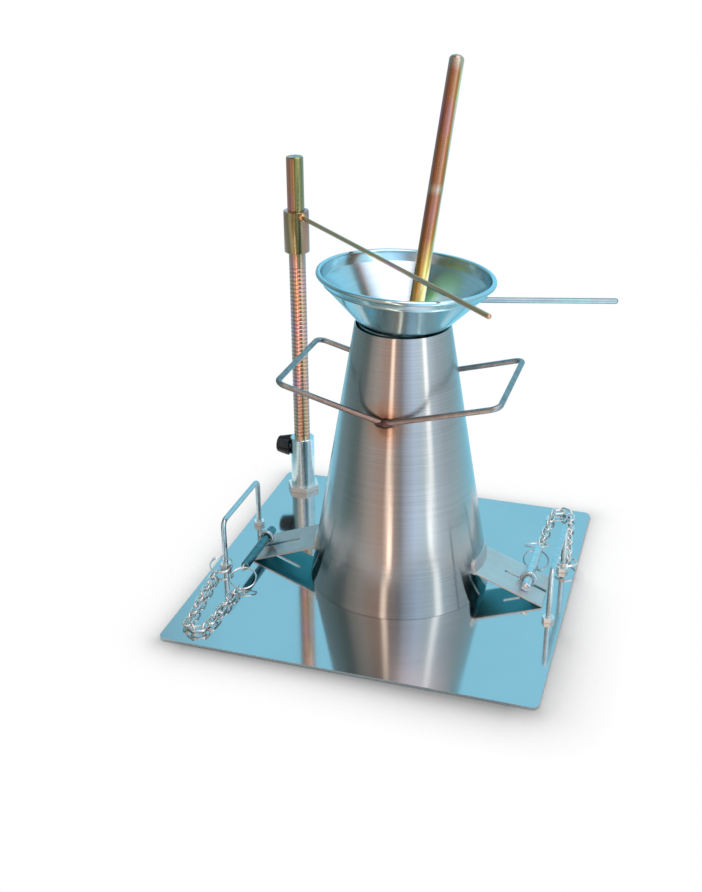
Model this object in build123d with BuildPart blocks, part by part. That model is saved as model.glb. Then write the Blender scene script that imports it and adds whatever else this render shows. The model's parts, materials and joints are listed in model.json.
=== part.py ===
"""Slump cone set: base plate, cone, filling funnel, tamping rod and measuring post."""
import os
from math import asin, atan, cos, degrees, radians, sin, tan

from build123d import *

os.makedirs("parts", exist_ok=True)

# Sizes in millimetres. The origin is the middle of the plate's underside, +Z up, front at -Y.

# Base plate
plate_side = 400.0
plate_thick = 3.0
plate_corner = 8.0
fittings_y = 2.5

# Clearances
rest_gap = 0.1
weld_gap = 0.05
fit_gap = 0.08
loose_gap = 0.4

# Sides of the polygons that stand for round wire
wire_sides = 12
ring_sides = 24
lip_sides = 8

# Cone
cone_x = 7.5
cone_height = 300.0
cone_base_bore = 200.0
cone_top_bore = 98.0
cone_wall = 1.5

# Wire handles of the cone
handle_wire = 6.0
handle_reach = 117.0
handle_weld_height = 214.5
handle_rise = 31.5
handle_bend = 10.0

# Foot lugs
lug_width = 61.0
lug_thick = 2.0
lug_reach = 168.0
lug_angle = 21.2
lug_flange = 14.0
lug_corner = 5.0
slot_start = 121.0

# Eyes in the plate and the pins through them
eye_reach = 155.5
eye_wire = 4.0
pin_dia = 10.0
pin_length = 88.0
pin_overhang = 20.0
pin_chamfer = 1.2
eyelet_radius = 3.6
eyelet_wire = 2.0
pin_ring_radius = 14.5
pin_ring_wire = 2.0
ring_hook = 25.0
ring_turn = 17.7

# Wire bails at the plate's sides, with a nut at each foot
bail_inset = 14.0
bail_width = 105.0
bail_height = 60.0
bail_wire = 6.0
bail_bend = 8.0
bail_nut_flats = 12.0
bail_nut_height = 5.0

# Tether rings round the bail legs, and the chains
tether_radius = 13.0
tether_wire = 2.0
tether_slope = 12.0
tether_shift_x = -2.0
tether_shift_y = -7.5
link_length = 17.6
link_width = 11.0
link_wire = 2.2
link_corner = 2.6
link_bevel = 0.5
link_pitch = 12.2
hook_gap = 0.7
link_roll = 45.0
link_twist = 16.0
bend_links = 5
chain_edge = 19.0
chain_bend = 9.8
chain_flat = 1.8
chain_back_shift = -2.5

# Measuring post
post_inset_x = 33.5
post_inset_y = 37.5
rod_dia = 20.0
socket_wall = 5.0
socket_height = 73.5
socket_floor = 3.0
socket_foot_dia = 12.0
socket_nut_flats = 36.0
socket_nut_height = 7.0
sleeve_wall = 5.0
sleeve_length = 49.5
sleeve_below_arm = 44.4
rod_spare = 62.5
edge_chamfer = 1.0
arm_dia = 5.0
arm_reach = 408.0
arm_bearing = -45.0
arm_boss_dia = 10.0
arm_clearance = 0.8
clamp_height = 59.0
screw_dia = 8.0
knob_dia = 28.0
knob_length = 17.0
knob_lobes = 5
knob_tip_dia = 21.0

# Funnel
funnel_wall = 1.2
funnel_crease_dia = 170.0
funnel_rim_dia = 185.0
funnel_flare = 38.0
funnel_band = 12.0
funnel_lip_dia = 5.4
funnel_spout_dia = 94.0
funnel_spout_drop = 26.0
funnel_handle_dia = 6.0
funnel_handle_reach = 228.0
funnel_handle_height = 22.2
funnel_handle_bearing = 24.5
funnel_tilt = 3.2

# Tamping rod
tamping_dia = 16.0
tamping_length = 595.0
tamping_foot_x = -12.0
tamping_foot_y = -87.0
tamping_lean = 83.0

# Places that follow from the sizes
plate_top = plate_thick
cone_foot = plate_top + rest_gap
cone_top = cone_foot + cone_height
cone_axis = Axis((cone_x, fittings_y, 0), (0, 0, 1))
cone_section = Plane((cone_x, fittings_y, 0), x_dir=(1, 0, 0), z_dir=(0, -1, 0))
twin_axis = Axis((0, fittings_y, 0), (0, 0, 1))
cone_draft = (cone_base_bore - cone_top_bore) / 2 / cone_height
lug_slope = tan(radians(lug_angle))
toe_top = plate_top + 2 * rest_gap + lug_thick / cos(radians(lug_angle))
pin_radius = pin_dia / 2
bail_x = plate_side / 2 - bail_inset
post_x = post_inset_x - plate_side / 2
post_y = plate_side / 2 - post_inset_y
link_reach = (link_length - link_wire) / 2
link_side = (link_width - link_wire) / 2


def cone_radius(height):
    """Outer radius of the cone at a height above the plate's underside."""
    return cone_base_bore / 2 + cone_wall - cone_draft * (height - cone_foot)


def link_height(roll):
    """Height of a link's middle where it lies on the plate or hangs between its neighbours."""
    lift = max(abs(sin(radians(roll))), sin(radians(link_roll)))
    return plate_top + 2 * rest_gap + link_wire / 2 + link_side * lift


def tread_top(reach):
    """Height of a lug's upper face at a distance from the cone's axis."""
    return toe_top + (lug_reach - reach) * lug_slope


# The cone rests pushed to the right, where the right lug wedges under its pin
pin_height = tread_top(eye_reach - cone_x) + (pin_radius + rest_gap) / cos(radians(lug_angle))
eye_radius = pin_radius + loose_gap + eye_wire / 2

# Base plate, with holes for the bail feet, the eyes and the socket's foot
with BuildPart() as base_plate:
    with BuildSketch():
        RectangleRounded(plate_side, plate_side, plate_corner)
    extrude(amount=plate_thick)
    with Locations((0, fittings_y, plate_top)):
        with GridLocations(2 * bail_x, bail_width, 2, 2):
            Hole(bail_wire / 2 + fit_gap)
        with GridLocations(2 * eye_reach, 1, 2, 1):
            Hole(eye_wire / 2 + fit_gap)
    with Locations((post_x, post_y, plate_top)):
        Hole(socket_foot_dia / 2 + fit_gap)
base_plate.part.label = "base_plate"
export_step(base_plate.part, "parts/base_plate.step")

# Bails: wire staples that stand in the plate
bail_foot = plate_thick / 2
bail_front = fittings_y - bail_width / 2
bail_back = fittings_y + bail_width / 2
with BuildPart() as carry_bail_left:
    with BuildLine() as bail_path:
        FilletPolyline(
            (-bail_x, bail_front, bail_foot),
            (-bail_x, bail_front, plate_top + bail_height),
            (-bail_x, bail_back, plate_top + bail_height),
            (-bail_x, bail_back, bail_foot),
            radius=bail_bend,
        )
    with BuildSketch(Plane((-bail_x, bail_front, bail_foot))):
        RegularPolygon(bail_wire / 2, wire_sides)
    sweep(path=bail_path.wire())
carry_bail_left.part.label = "carry_bail_left"
export_step(carry_bail_left.part, "parts/carry_bail_left.step")

with BuildPart() as carry_bail_right:
    add(carry_bail_left.part.rotate(twin_axis, 180))
carry_bail_right.part.label = "carry_bail_right"
export_step(carry_bail_right.part, "parts/carry_bail_right.step")

with BuildPart() as bail_nuts:
    with BuildSketch(Plane((0, fittings_y, plate_top + weld_gap))):
        with GridLocations(2 * bail_x, bail_width, 2, 2):
            RegularPolygon(bail_nut_flats / 2, 6, major_radius=False)
            Circle(bail_wire / 2 + fit_gap, mode=Mode.SUBTRACT)
    extrude(amount=bail_nut_height)
bail_nuts.part.label = "bail_nuts"
export_step(bail_nuts.part, "parts/bail_nuts.step")

# Eyes: a ring on a shank, which comes up through the slot of a lug
eye_plane = Plane((-eye_reach, fittings_y, pin_height), x_dir=(1, 0, 0), z_dir=(0, -1, 0))
with BuildPart() as foot_eye_left:
    with BuildSketch(eye_plane):
        RegularPolygon(eye_radius + eye_wire / 2, ring_sides)
        RegularPolygon(eye_radius - eye_wire / 2, ring_sides, major_radius=False, mode=Mode.SUBTRACT)
    extrude(amount=eye_wire / 2, both=True)
    chamfer(foot_eye_left.faces().filter_by(Axis.Y).edges(), eye_wire / 4)
    with BuildSketch(Plane((-eye_reach, fittings_y, plate_thick / 2))):
        Circle(eye_wire / 2)
    extrude(amount=pin_height - eye_radius - plate_thick / 2)
foot_eye_left.part.label = "foot_eye_left"
export_step(foot_eye_left.part, "parts/foot_eye_left.step")

with BuildPart() as foot_eye_right:
    add(foot_eye_left.part.rotate(twin_axis, 180))
foot_eye_right.part.label = "foot_eye_right"
export_step(foot_eye_right.part, "parts/foot_eye_right.step")

# Cone: a plain rolled shell, open at both ends
with BuildPart() as cone_shell:
    with BuildSketch(cone_section):
        with BuildLine():
            Polyline(
                (cone_base_bore / 2, cone_foot),
                (cone_base_bore / 2 + cone_wall, cone_foot),
                (cone_top_bore / 2 + cone_wall, cone_top),
                (cone_top_bore / 2, cone_top),
                close=True,
            )
        make_face()
    revolve(axis=cone_axis)
cone_shell.part.label = "cone_shell"
export_step(cone_shell.part, "parts/cone_shell.step")

# Wire handles: each leg touches the cone's front or back, and the grip crosses beside it
handle_z = plate_top + handle_weld_height
handle_top = handle_z + handle_rise
handle_half = cone_radius(handle_z) + handle_wire / 2 + weld_gap
handle_start = (handle_wire / 2 + weld_gap) / cos(atan(handle_rise / handle_reach))
handle_slope = (handle_reach - handle_start, 0, handle_rise)
with BuildPart() as cone_handle_right:
    with BuildLine() as handle_path:
        FilletPolyline(
            (cone_x + handle_start, fittings_y - handle_half, handle_z),
            (cone_x + handle_reach, fittings_y - handle_half, handle_top),
            (cone_x + handle_reach, fittings_y + handle_half, handle_top),
            (cone_x + handle_start, fittings_y + handle_half, handle_z),
            radius=handle_bend,
        )
    with BuildSketch(Plane(handle_path.wire() @ 0, z_dir=handle_slope)):
        RegularPolygon(handle_wire / 2, wire_sides)
    sweep(path=handle_path.wire())
cone_handle_right.part.label = "cone_handle_right"
export_step(cone_handle_right.part, "parts/cone_handle_right.step")

with BuildPart() as cone_handle_left:
    add(cone_handle_right.part.rotate(cone_axis, 180))
cone_handle_left.part.label = "cone_handle_left"
export_step(cone_handle_left.part, "parts/cone_handle_left.step")

# Weld beads between the ends of the two handles, front and back
bead_tip = handle_wire / 4
bead_reach = handle_start - bead_tip * handle_rise / handle_reach - weld_gap
bead_taper = degrees(atan((handle_wire / 2 - bead_tip) / bead_reach))
bead_plane = Plane((cone_x, fittings_y, handle_z), x_dir=(0, 1, 0), z_dir=(1, 0, 0))
with BuildPart() as handle_welds:
    with BuildSketch(bead_plane):
        with GridLocations(2 * handle_half, 1, 2, 1):
            RegularPolygon(handle_wire / 2, wire_sides)
    extrude(amount=bead_reach, both=True, taper=bead_taper)
handle_welds.part.label = "handle_welds"
export_step(handle_welds.part, "parts/handle_welds.step")

# Foot lugs: a flange on the cone's wall and a sloping tread, forked to pass the eye
lug_root = (
    toe_top + lug_slope * (lug_reach - cone_base_bore / 2 - cone_wall - cone_draft * cone_foot)
) / (1 - lug_slope * cone_draft)
flange_low = lug_root - lug_thick
flange_high = lug_root + lug_flange
tread_inner = cone_top_bore / 2
slot_width = eye_wire + 2 * loose_gap
with BuildPart() as foot_lug_right:
    with BuildSketch(cone_section):
        with BuildLine():
            Polyline(
                (cone_radius(flange_low), flange_low),
                (cone_radius(flange_low) + lug_thick, flange_low),
                (cone_radius(flange_high) + lug_thick, flange_high),
                (cone_radius(flange_high), flange_high),
                close=True,
            )
        make_face()
    revolve(axis=cone_axis)
    with BuildSketch(Plane((cone_x, fittings_y, lug_root), x_dir=(0, 1, 0), z_dir=(1, 0, 0))):
        with BuildLine():
            Polyline(
                (-lug_width / 2, -lug_flange),
                (lug_width / 2, -lug_flange),
                (lug_width / 2, lug_flange - lug_corner),
                (lug_width / 2 - lug_corner, lug_flange),
                (lug_corner - lug_width / 2, lug_flange),
                (-lug_width / 2, lug_flange - lug_corner),
                close=True,
            )
        make_face()
    extrude(amount=lug_reach, mode=Mode.INTERSECT)
    with BuildSketch(cone_section):
        with BuildLine():
            Polyline(
                (tread_inner, tread_top(tread_inner)),
                (lug_reach, toe_top),
                (lug_reach, plate_top + 2 * rest_gap),
                (tread_inner, tread_top(tread_inner) - lug_thick / cos(radians(lug_angle))),
                close=True,
            )
        make_face()
    extrude(amount=lug_width / 2, both=True)
    with BuildSketch(cone_section):
        with BuildLine():
            Polyline(
                (0, 0),
                (cone_radius(0) + weld_gap, 0),
                (cone_radius(cone_top) + weld_gap, cone_top),
                (0, cone_top),
                close=True,
            )
        make_face()
    revolve(axis=cone_axis, mode=Mode.SUBTRACT)
    with BuildSketch(Plane((cone_x, fittings_y, 0))):
        with Locations((slot_start + slot_width / 2, 0)):
            Circle(slot_width / 2)
            Rectangle(lug_reach, slot_width, align=(Align.MIN, Align.CENTER))
    extrude(amount=lug_root, mode=Mode.SUBTRACT)
foot_lug_right.part.label = "foot_lug_right"
export_step(foot_lug_right.part, "parts/foot_lug_right.step")

with BuildPart() as foot_lug_left:
    add(foot_lug_right.part.rotate(cone_axis, 180))
foot_lug_left.part.label = "foot_lug_left"
export_step(foot_lug_left.part, "parts/foot_lug_left.step")

# Locking pins: each lies through an eye, over the tread, with an eyelet at its outer end
pin_free = fittings_y + pin_overhang
pin_end = pin_free - pin_length
eyelet_y = pin_end - eyelet_radius + eyelet_wire / 2
eyelet_plane = Plane((-eye_reach, eyelet_y, pin_height), x_dir=(0, 1, 0), z_dir=(1, 0, 0))
with BuildPart() as locking_pin_left:
    with BuildSketch(Plane((-eye_reach, pin_free, pin_height), x_dir=(1, 0, 0), z_dir=(0, -1, 0))):
        Circle(pin_radius)
    extrude(amount=pin_length)
    chamfer(locking_pin_left.edges(), pin_chamfer)
    with BuildSketch(eyelet_plane):
        RegularPolygon(eyelet_radius + eyelet_wire / 2, ring_sides // 2)
        RegularPolygon(eyelet_radius - eyelet_wire / 2, ring_sides // 2, mode=Mode.SUBTRACT)
    extrude(amount=eyelet_wire / 2, both=True)
locking_pin_left.part.label = "locking_pin_left"
export_step(locking_pin_left.part, "parts/locking_pin_left.step")

with BuildPart() as locking_pin_right:
    add(locking_pin_left.part.rotate(twin_axis, 180))
locking_pin_right.part.label = "locking_pin_right"
export_step(locking_pin_right.part, "parts/locking_pin_right.step")

# Pin rings: each hangs from an eyelet and slopes down to the chain's last link
ring_side = Vector(cos(radians(ring_turn)), sin(radians(ring_turn)), 0)
ring_front = Vector(sin(radians(ring_turn)), -cos(radians(ring_turn)), 0)
hook_height = link_height(link_roll + link_twist)
hook_side = sin(radians(ring_hook))
hook_fall = cos(radians(ring_hook))
ring_drop = (pin_height - hook_height) / (pin_ring_radius * (1 + hook_fall))
ring_fall = ring_front * cos(asin(ring_drop)) - Vector(0, 0, ring_drop)
ring_centre = Vector(-eye_reach, eyelet_y, pin_height) + ring_fall * pin_ring_radius
ring_plane = Plane(ring_centre, x_dir=ring_side, z_dir=ring_side.cross(-ring_fall))
with BuildPart() as pin_ring_left:
    with BuildSketch(ring_plane):
        RegularPolygon(pin_ring_radius + pin_ring_wire / 2, ring_sides)
        RegularPolygon(pin_ring_radius - pin_ring_wire / 2, ring_sides, mode=Mode.SUBTRACT)
    extrude(amount=pin_ring_wire / 2, both=True)
    chamfer(pin_ring_left.faces().filter_by(ring_plane).edges(), pin_ring_wire / 4)
pin_ring_left.part.label = "pin_ring_left"
export_step(pin_ring_left.part, "parts/pin_ring_left.step")

with BuildPart() as pin_ring_right:
    add(pin_ring_left.part.rotate(twin_axis, 180))
pin_ring_right.part.label = "pin_ring_right"
export_step(pin_ring_right.part, "parts/pin_ring_right.step")

# Tether rings: each lies round a bail leg and leans down to the chain's first link
tether_fall = ring_front * cos(radians(tether_slope)) - Vector(0, 0, sin(radians(tether_slope)))
tether_z = hook_height + tether_radius * hook_fall * sin(radians(tether_slope))
tether_centre = Vector(-bail_x + tether_shift_x, bail_front + tether_shift_y, tether_z)
tether_plane = Plane(tether_centre, x_dir=ring_side, z_dir=ring_side.cross(-tether_fall))
with BuildPart() as tether_ring_left:
    with BuildSketch(tether_plane):
        RegularPolygon(tether_radius + tether_wire / 2, ring_sides)
        RegularPolygon(tether_radius - tether_wire / 2, ring_sides, mode=Mode.SUBTRACT)
    extrude(amount=tether_wire / 2, both=True)
    chamfer(tether_ring_left.faces().filter_by(tether_plane).edges(), tether_wire / 4)
tether_ring_left.part.label = "tether_ring_left"
export_step(tether_ring_left.part, "parts/tether_ring_left.step")

with BuildPart() as tether_ring_right:
    add(tether_ring_left.part.rotate(twin_axis, 180))
tether_ring_right.part.label = "tether_ring_right"
export_step(tether_ring_right.part, "parts/tether_ring_right.step")

# Chains: open links from the tether ring to the pin ring, round a bend near the plate's corner.
# Along the runs the links lean to alternate sides. In the bend they lie flat and upright in turn.
chain_start = tether_centre + (tether_fall * hook_fall - ring_side * hook_side) * tether_radius
chain_end = ring_centre + (ring_fall * hook_fall - ring_side * hook_side) * pin_ring_radius
start_bite = (link_wire + tether_wire) / 2 + hook_gap - link_reach + link_pitch / 2
end_bite = (link_wire + pin_ring_wire) / 2 + hook_gap - link_reach + link_pitch / 2
chain_near_y = chain_edge - plate_side / 2
back_x = chain_end.X + chain_back_shift
out_x = back_x - 2 * chain_bend - chain_flat
with BuildLine() as chain_path:
    FilletPolyline(
        (chain_start.X, chain_start.Y + start_bite),
        (out_x, chain_near_y),
        (back_x, chain_near_y),
        (chain_end.X, chain_end.Y + end_bite),
        radius=chain_bend,
    )
chain_wire = chain_path.wire()
link_count = round(chain_wire.length / link_pitch)
run_out, bend_out, bend_flat = chain_wire.order_edges()[:3]
bend_middle = (run_out.length + bend_out.length + bend_flat.length / 2) * link_count / chain_wire.length
link_places = []
for number in range(link_count):
    front = chain_wire @ (number / link_count)
    back = chain_wire @ ((number + 1) / link_count)
    past_bend = (2 * number + 1) / 2 - bend_middle
    twist = min(link_roll, link_twist * max(0, abs(past_bend) - bend_links / 2))
    lean = 1 if past_bend < 0 or link_count % 2 == 0 else -1
    roll = 90 * number + lean * twist
    if number == 0:
        roll += link_twist
    if number == link_count - 1:
        roll -= link_twist
    heading = (back - front).normalized()
    across = heading.cross(Vector(0, 0, 1))
    normal = Vector(0, 0, 1) * cos(radians(roll)) + across * sin(radians(roll))
    middle = (front + back) / 2 + Vector(0, 0, link_height(roll))
    link_places.append(Plane(middle, x_dir=heading, z_dir=normal))
with BuildPart() as chain_link:
    with BuildSketch() as link_outline:
        Rectangle(link_length, link_width)
        chamfer(link_outline.vertices(), link_corner)
        offset(amount=-link_wire, kind=Kind.INTERSECTION, mode=Mode.SUBTRACT)
    extrude(amount=link_wire / 2, both=True)
    chamfer(chain_link.faces().filter_by(Axis.Z).edges(), link_bevel)
with BuildPart() as chain_left:
    with Locations(*link_places):
        add(chain_link.part)
chain_left.part.label = "chain_left"
export_step(chain_left.part, "parts/chain_left.step")

with BuildPart() as chain_right:
    add(chain_left.part.rotate(twin_axis, 180))
chain_right.part.label = "chain_right"
export_step(chain_right.part, "parts/chain_right.step")

# Socket of the measuring post, with a nut at its foot and a tapped hole for the clamp
socket_radius = rod_dia / 2 + socket_wall
socket_top = plate_top + socket_height
clamp_z = plate_top + clamp_height
clamp_plane = Plane((post_x, post_y, clamp_z), x_dir=(0, 1, 0), z_dir=(-1, 0, 0))
with BuildPart() as post_socket:
    with BuildSketch(Plane((post_x, post_y, plate_top + weld_gap))):
        Circle(socket_radius)
    extrude(amount=socket_height - weld_gap)
    chamfer(post_socket.edges().group_by(Axis.Z)[-1], edge_chamfer)
    with BuildSketch(Plane((post_x, post_y, socket_top))):
        Circle(rod_dia / 2 + fit_gap)
    extrude(amount=socket_floor - socket_height, mode=Mode.SUBTRACT)
    with BuildSketch(Plane((post_x, post_y, plate_thick / 2))):
        Circle(socket_foot_dia / 2)
    extrude(amount=plate_thick)
    with BuildSketch(clamp_plane):
        Circle(screw_dia / 2 + fit_gap)
    extrude(amount=2 * socket_radius, mode=Mode.SUBTRACT)
post_socket.part.label = "post_socket"
export_step(post_socket.part, "parts/post_socket.step")

with BuildPart() as socket_nut:
    with BuildSketch(Plane((post_x, post_y, plate_top + weld_gap))):
        RegularPolygon(socket_nut_flats / 2, 6, major_radius=False)
        Circle(socket_radius + fit_gap, mode=Mode.SUBTRACT)
    extrude(amount=socket_nut_height)
socket_nut.part.label = "socket_nut"
export_step(socket_nut.part, "parts/socket_nut.step")

# Clamp: a screw that bears on the rod, and the lobed knob on its outer end
knob_start = socket_radius + loose_gap
with BuildPart() as clamp_screw:
    with BuildSketch(clamp_plane.offset(rod_dia / 2 + loose_gap)):
        Circle(screw_dia / 2)
    extrude(amount=socket_wall + knob_length / 2)
clamp_screw.part.label = "clamp_screw"
export_step(clamp_screw.part, "parts/clamp_screw.step")

knob_section = Plane((post_x, post_y, clamp_z), x_dir=(-1, 0, 0), z_dir=(0, 1, 0))
with BuildPart() as clamp_knob:
    with BuildSketch(clamp_plane.offset(knob_start)):
        Circle(knob_dia / 3)
        with PolarLocations(knob_dia / 3, knob_lobes):
            Circle(knob_dia / 6)
    extrude(amount=knob_length)
    with BuildSketch(knob_section):
        with BuildLine():
            Polyline(
                (knob_start, 0),
                (knob_start, knob_dia / 2),
                (knob_start + knob_length - edge_chamfer, knob_tip_dia / 2),
                (knob_start + knob_length, knob_tip_dia / 2 - edge_chamfer),
                (knob_start + knob_length, 0),
                close=True,
            )
        make_face()
    revolve(axis=Axis((post_x, post_y, clamp_z), (-1, 0, 0)), mode=Mode.INTERSECT)
    with BuildSketch(clamp_plane):
        Circle(screw_dia / 2 + weld_gap)
    extrude(amount=rod_dia / 2 + loose_gap + socket_wall + knob_length / 2 + weld_gap, mode=Mode.SUBTRACT)
clamp_knob.part.label = "clamp_knob"
export_step(clamp_knob.part, "parts/clamp_knob.step")

# The funnel's handle weighs it down, so it leans on the cone's edge at that side.
# Heights in its section are measured along its own axis, from where the flare meets the edge.
seat_radius = cone_top_bore / 2 - loose_gap
crease_radius = funnel_crease_dia / 2
spout_radius = funnel_spout_dia / 2
lip_radius = funnel_lip_dia / 2
lip_reach = funnel_rim_dia / 2 - lip_radius
lip_height = funnel_flare + funnel_band - lip_radius
flare_slope = (crease_radius - seat_radius) / funnel_flare
spout_top = (spout_radius - seat_radius) / flare_slope
dip = sin(radians(funnel_tilt))
level = cos(radians(funnel_tilt))
handle_side = Vector(cos(radians(funnel_handle_bearing)), sin(radians(funnel_handle_bearing)), 0)
funnel_out = handle_side * level - Vector(0, 0, dip)
funnel_up = handle_side * dip + Vector(0, 0, level)
funnel_seat = Vector(cone_x, fittings_y, cone_top) + handle_side * seat_radius
funnel_centre = funnel_seat - funnel_out * seat_radius
funnel_axis = Axis(funnel_centre, funnel_up)
funnel_section = Plane(funnel_centre, x_dir=funnel_out, z_dir=funnel_out.cross(funnel_up))
lip_peak = funnel_centre.Z + lip_height * level + lip_reach * dip + lip_radius

# Graduated rod, from the socket's floor up through the sleeve
arm_z = lip_peak + arm_clearance + arm_dia / 2
sleeve_low = arm_z - sleeve_below_arm
sleeve_top = sleeve_low + sleeve_length
rod_low = plate_top + socket_floor + rest_gap
rod_top = sleeve_top + rod_spare
with BuildPart() as graduated_rod:
    with BuildSketch(Plane((post_x, post_y, rod_low))):
        Circle(rod_dia / 2)
    extrude(amount=rod_top - rod_low)
    chamfer(graduated_rod.edges().group_by(Axis.Z)[-1], edge_chamfer)
graduated_rod.part.label = "graduated_rod"
export_step(graduated_rod.part, "parts/graduated_rod.step")

sleeve_radius = rod_dia / 2 + sleeve_wall
with BuildPart() as slide_sleeve:
    with BuildSketch(Plane((post_x, post_y, sleeve_low))):
        Circle(sleeve_radius)
    extrude(amount=sleeve_length)
    chamfer(slide_sleeve.edges(), edge_chamfer)
    with BuildSketch(Plane((post_x, post_y, sleeve_low))):
        Circle(rod_dia / 2 + fit_gap)
    extrude(amount=sleeve_length, mode=Mode.SUBTRACT)
slide_sleeve.part.label = "slide_sleeve"
export_step(slide_sleeve.part, "parts/slide_sleeve.step")

# Pointer arm: a plain rod with a brazed boss at the sleeve and a round tip
arm_heading = Vector(cos(radians(arm_bearing)), sin(radians(arm_bearing)), 0)
arm_root = Vector(post_x, post_y, arm_z)
arm_plane = Plane(arm_root, x_dir=(0, 0, 1), z_dir=arm_heading)
with BuildPart() as pointer_arm:
    with BuildSketch(arm_plane):
        Circle(arm_dia / 2)
    extrude(amount=arm_reach - arm_dia / 2)
    with Locations(arm_root + arm_heading * (arm_reach - arm_dia / 2)):
        Sphere(arm_dia / 2)
    with Locations(arm_root + arm_heading * (sleeve_radius + arm_boss_dia / 4)):
        Sphere(arm_boss_dia / 2)
    with BuildSketch(Plane((post_x, post_y, sleeve_low))):
        Circle(sleeve_radius + weld_gap)
    extrude(amount=sleeve_length, mode=Mode.SUBTRACT)
pointer_arm.part.label = "pointer_arm"
export_step(pointer_arm.part, "parts/pointer_arm.step")

# Funnel: a spout inside the cone's mouth, a flare that rests on its edge, and a band with a rolled lip
with BuildPart() as funnel_spout:
    with BuildSketch(funnel_section):
        with Locations((spout_radius, spout_top)):
            Rectangle(funnel_wall, funnel_spout_drop + spout_top, align=Align.MAX)
    revolve(axis=funnel_axis)
funnel_spout.part.label = "funnel_spout"
export_step(funnel_spout.part, "parts/funnel_spout.step")

with BuildPart() as funnel_flare_sheet:
    with BuildSketch(funnel_section):
        with BuildLine():
            Polyline(
                (spout_radius, spout_top + weld_gap),
                (crease_radius, funnel_flare),
                (crease_radius - funnel_wall, funnel_flare),
                (spout_radius - funnel_wall, spout_top + weld_gap),
                close=True,
            )
        make_face()
    revolve(axis=funnel_axis)
funnel_flare_sheet.part.label = "funnel_flare"
export_step(funnel_flare_sheet.part, "parts/funnel_flare.step")

with BuildPart() as funnel_rim:
    with BuildSketch(funnel_section):
        with BuildLine():
            Polyline(
                (crease_radius, funnel_flare + weld_gap),
                (lip_reach, lip_height),
                (lip_reach - funnel_wall, lip_height),
                (crease_radius - funnel_wall, funnel_flare + weld_gap),
                close=True,
            )
        make_face()
        with Locations((lip_reach, lip_height)):
            RegularPolygon(lip_radius, lip_sides, rotation=90)
    revolve(axis=funnel_axis)
funnel_rim.part.label = "funnel_rim"
export_step(funnel_rim.part, "parts/funnel_rim.step")

funnel_root = funnel_centre + funnel_up * funnel_handle_height
with BuildPart() as funnel_handle:
    with BuildSketch(Plane(funnel_root, x_dir=funnel_up, z_dir=funnel_out)):
        Circle(funnel_handle_dia / 2)
    extrude(amount=funnel_handle_reach - funnel_handle_dia / 2)
    with Locations(funnel_root + funnel_out * (funnel_handle_reach - funnel_handle_dia / 2)):
        Sphere(funnel_handle_dia / 2)
    with BuildSketch(funnel_section):
        with BuildLine():
            Polyline(
                (0, 0),
                (seat_radius + weld_gap, 0),
                (crease_radius + weld_gap, funnel_flare),
                (0, funnel_flare),
                close=True,
            )
        make_face()
    revolve(axis=funnel_axis, mode=Mode.SUBTRACT)
funnel_handle.part.label = "funnel_handle"
export_step(funnel_handle.part, "parts/funnel_handle.step")

# Tamping rod: stands inside the cone and leans on the spout's back edge
tamping_radius = tamping_dia / 2
tamping_foot = Vector(cone_x + tamping_foot_x, fittings_y + tamping_foot_y, cone_foot + tamping_radius)
lean_radius = spout_radius - funnel_wall - tamping_radius - 4 * loose_gap
lean_point = Vector(
    cone_x + lean_radius * cos(radians(tamping_lean)),
    fittings_y + lean_radius * sin(radians(tamping_lean)),
    funnel_centre.Z + spout_top * level + spout_radius * dip,
)
tamping_heading = (lean_point - tamping_foot).normalized()
tamping_span = tamping_length - tamping_dia
with BuildPart() as tamping_rod:
    with BuildSketch(Plane(tamping_foot, x_dir=(1, 0, 0), z_dir=tamping_heading)):
        Circle(tamping_radius)
    extrude(amount=tamping_span)
    with Locations(tamping_foot, tamping_foot + tamping_heading * tamping_span):
        Sphere(tamping_radius)
tamping_rod.part.label = "tamping_rod"
export_step(tamping_rod.part, "parts/tamping_rod.step")
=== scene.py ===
"""Looks of the slump cone set: polished plate, brushed cone, spun funnel, plated rods, wire and chain."""

import json
import math

import bmesh
import bpy
from mathutils import Matrix, Vector


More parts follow.
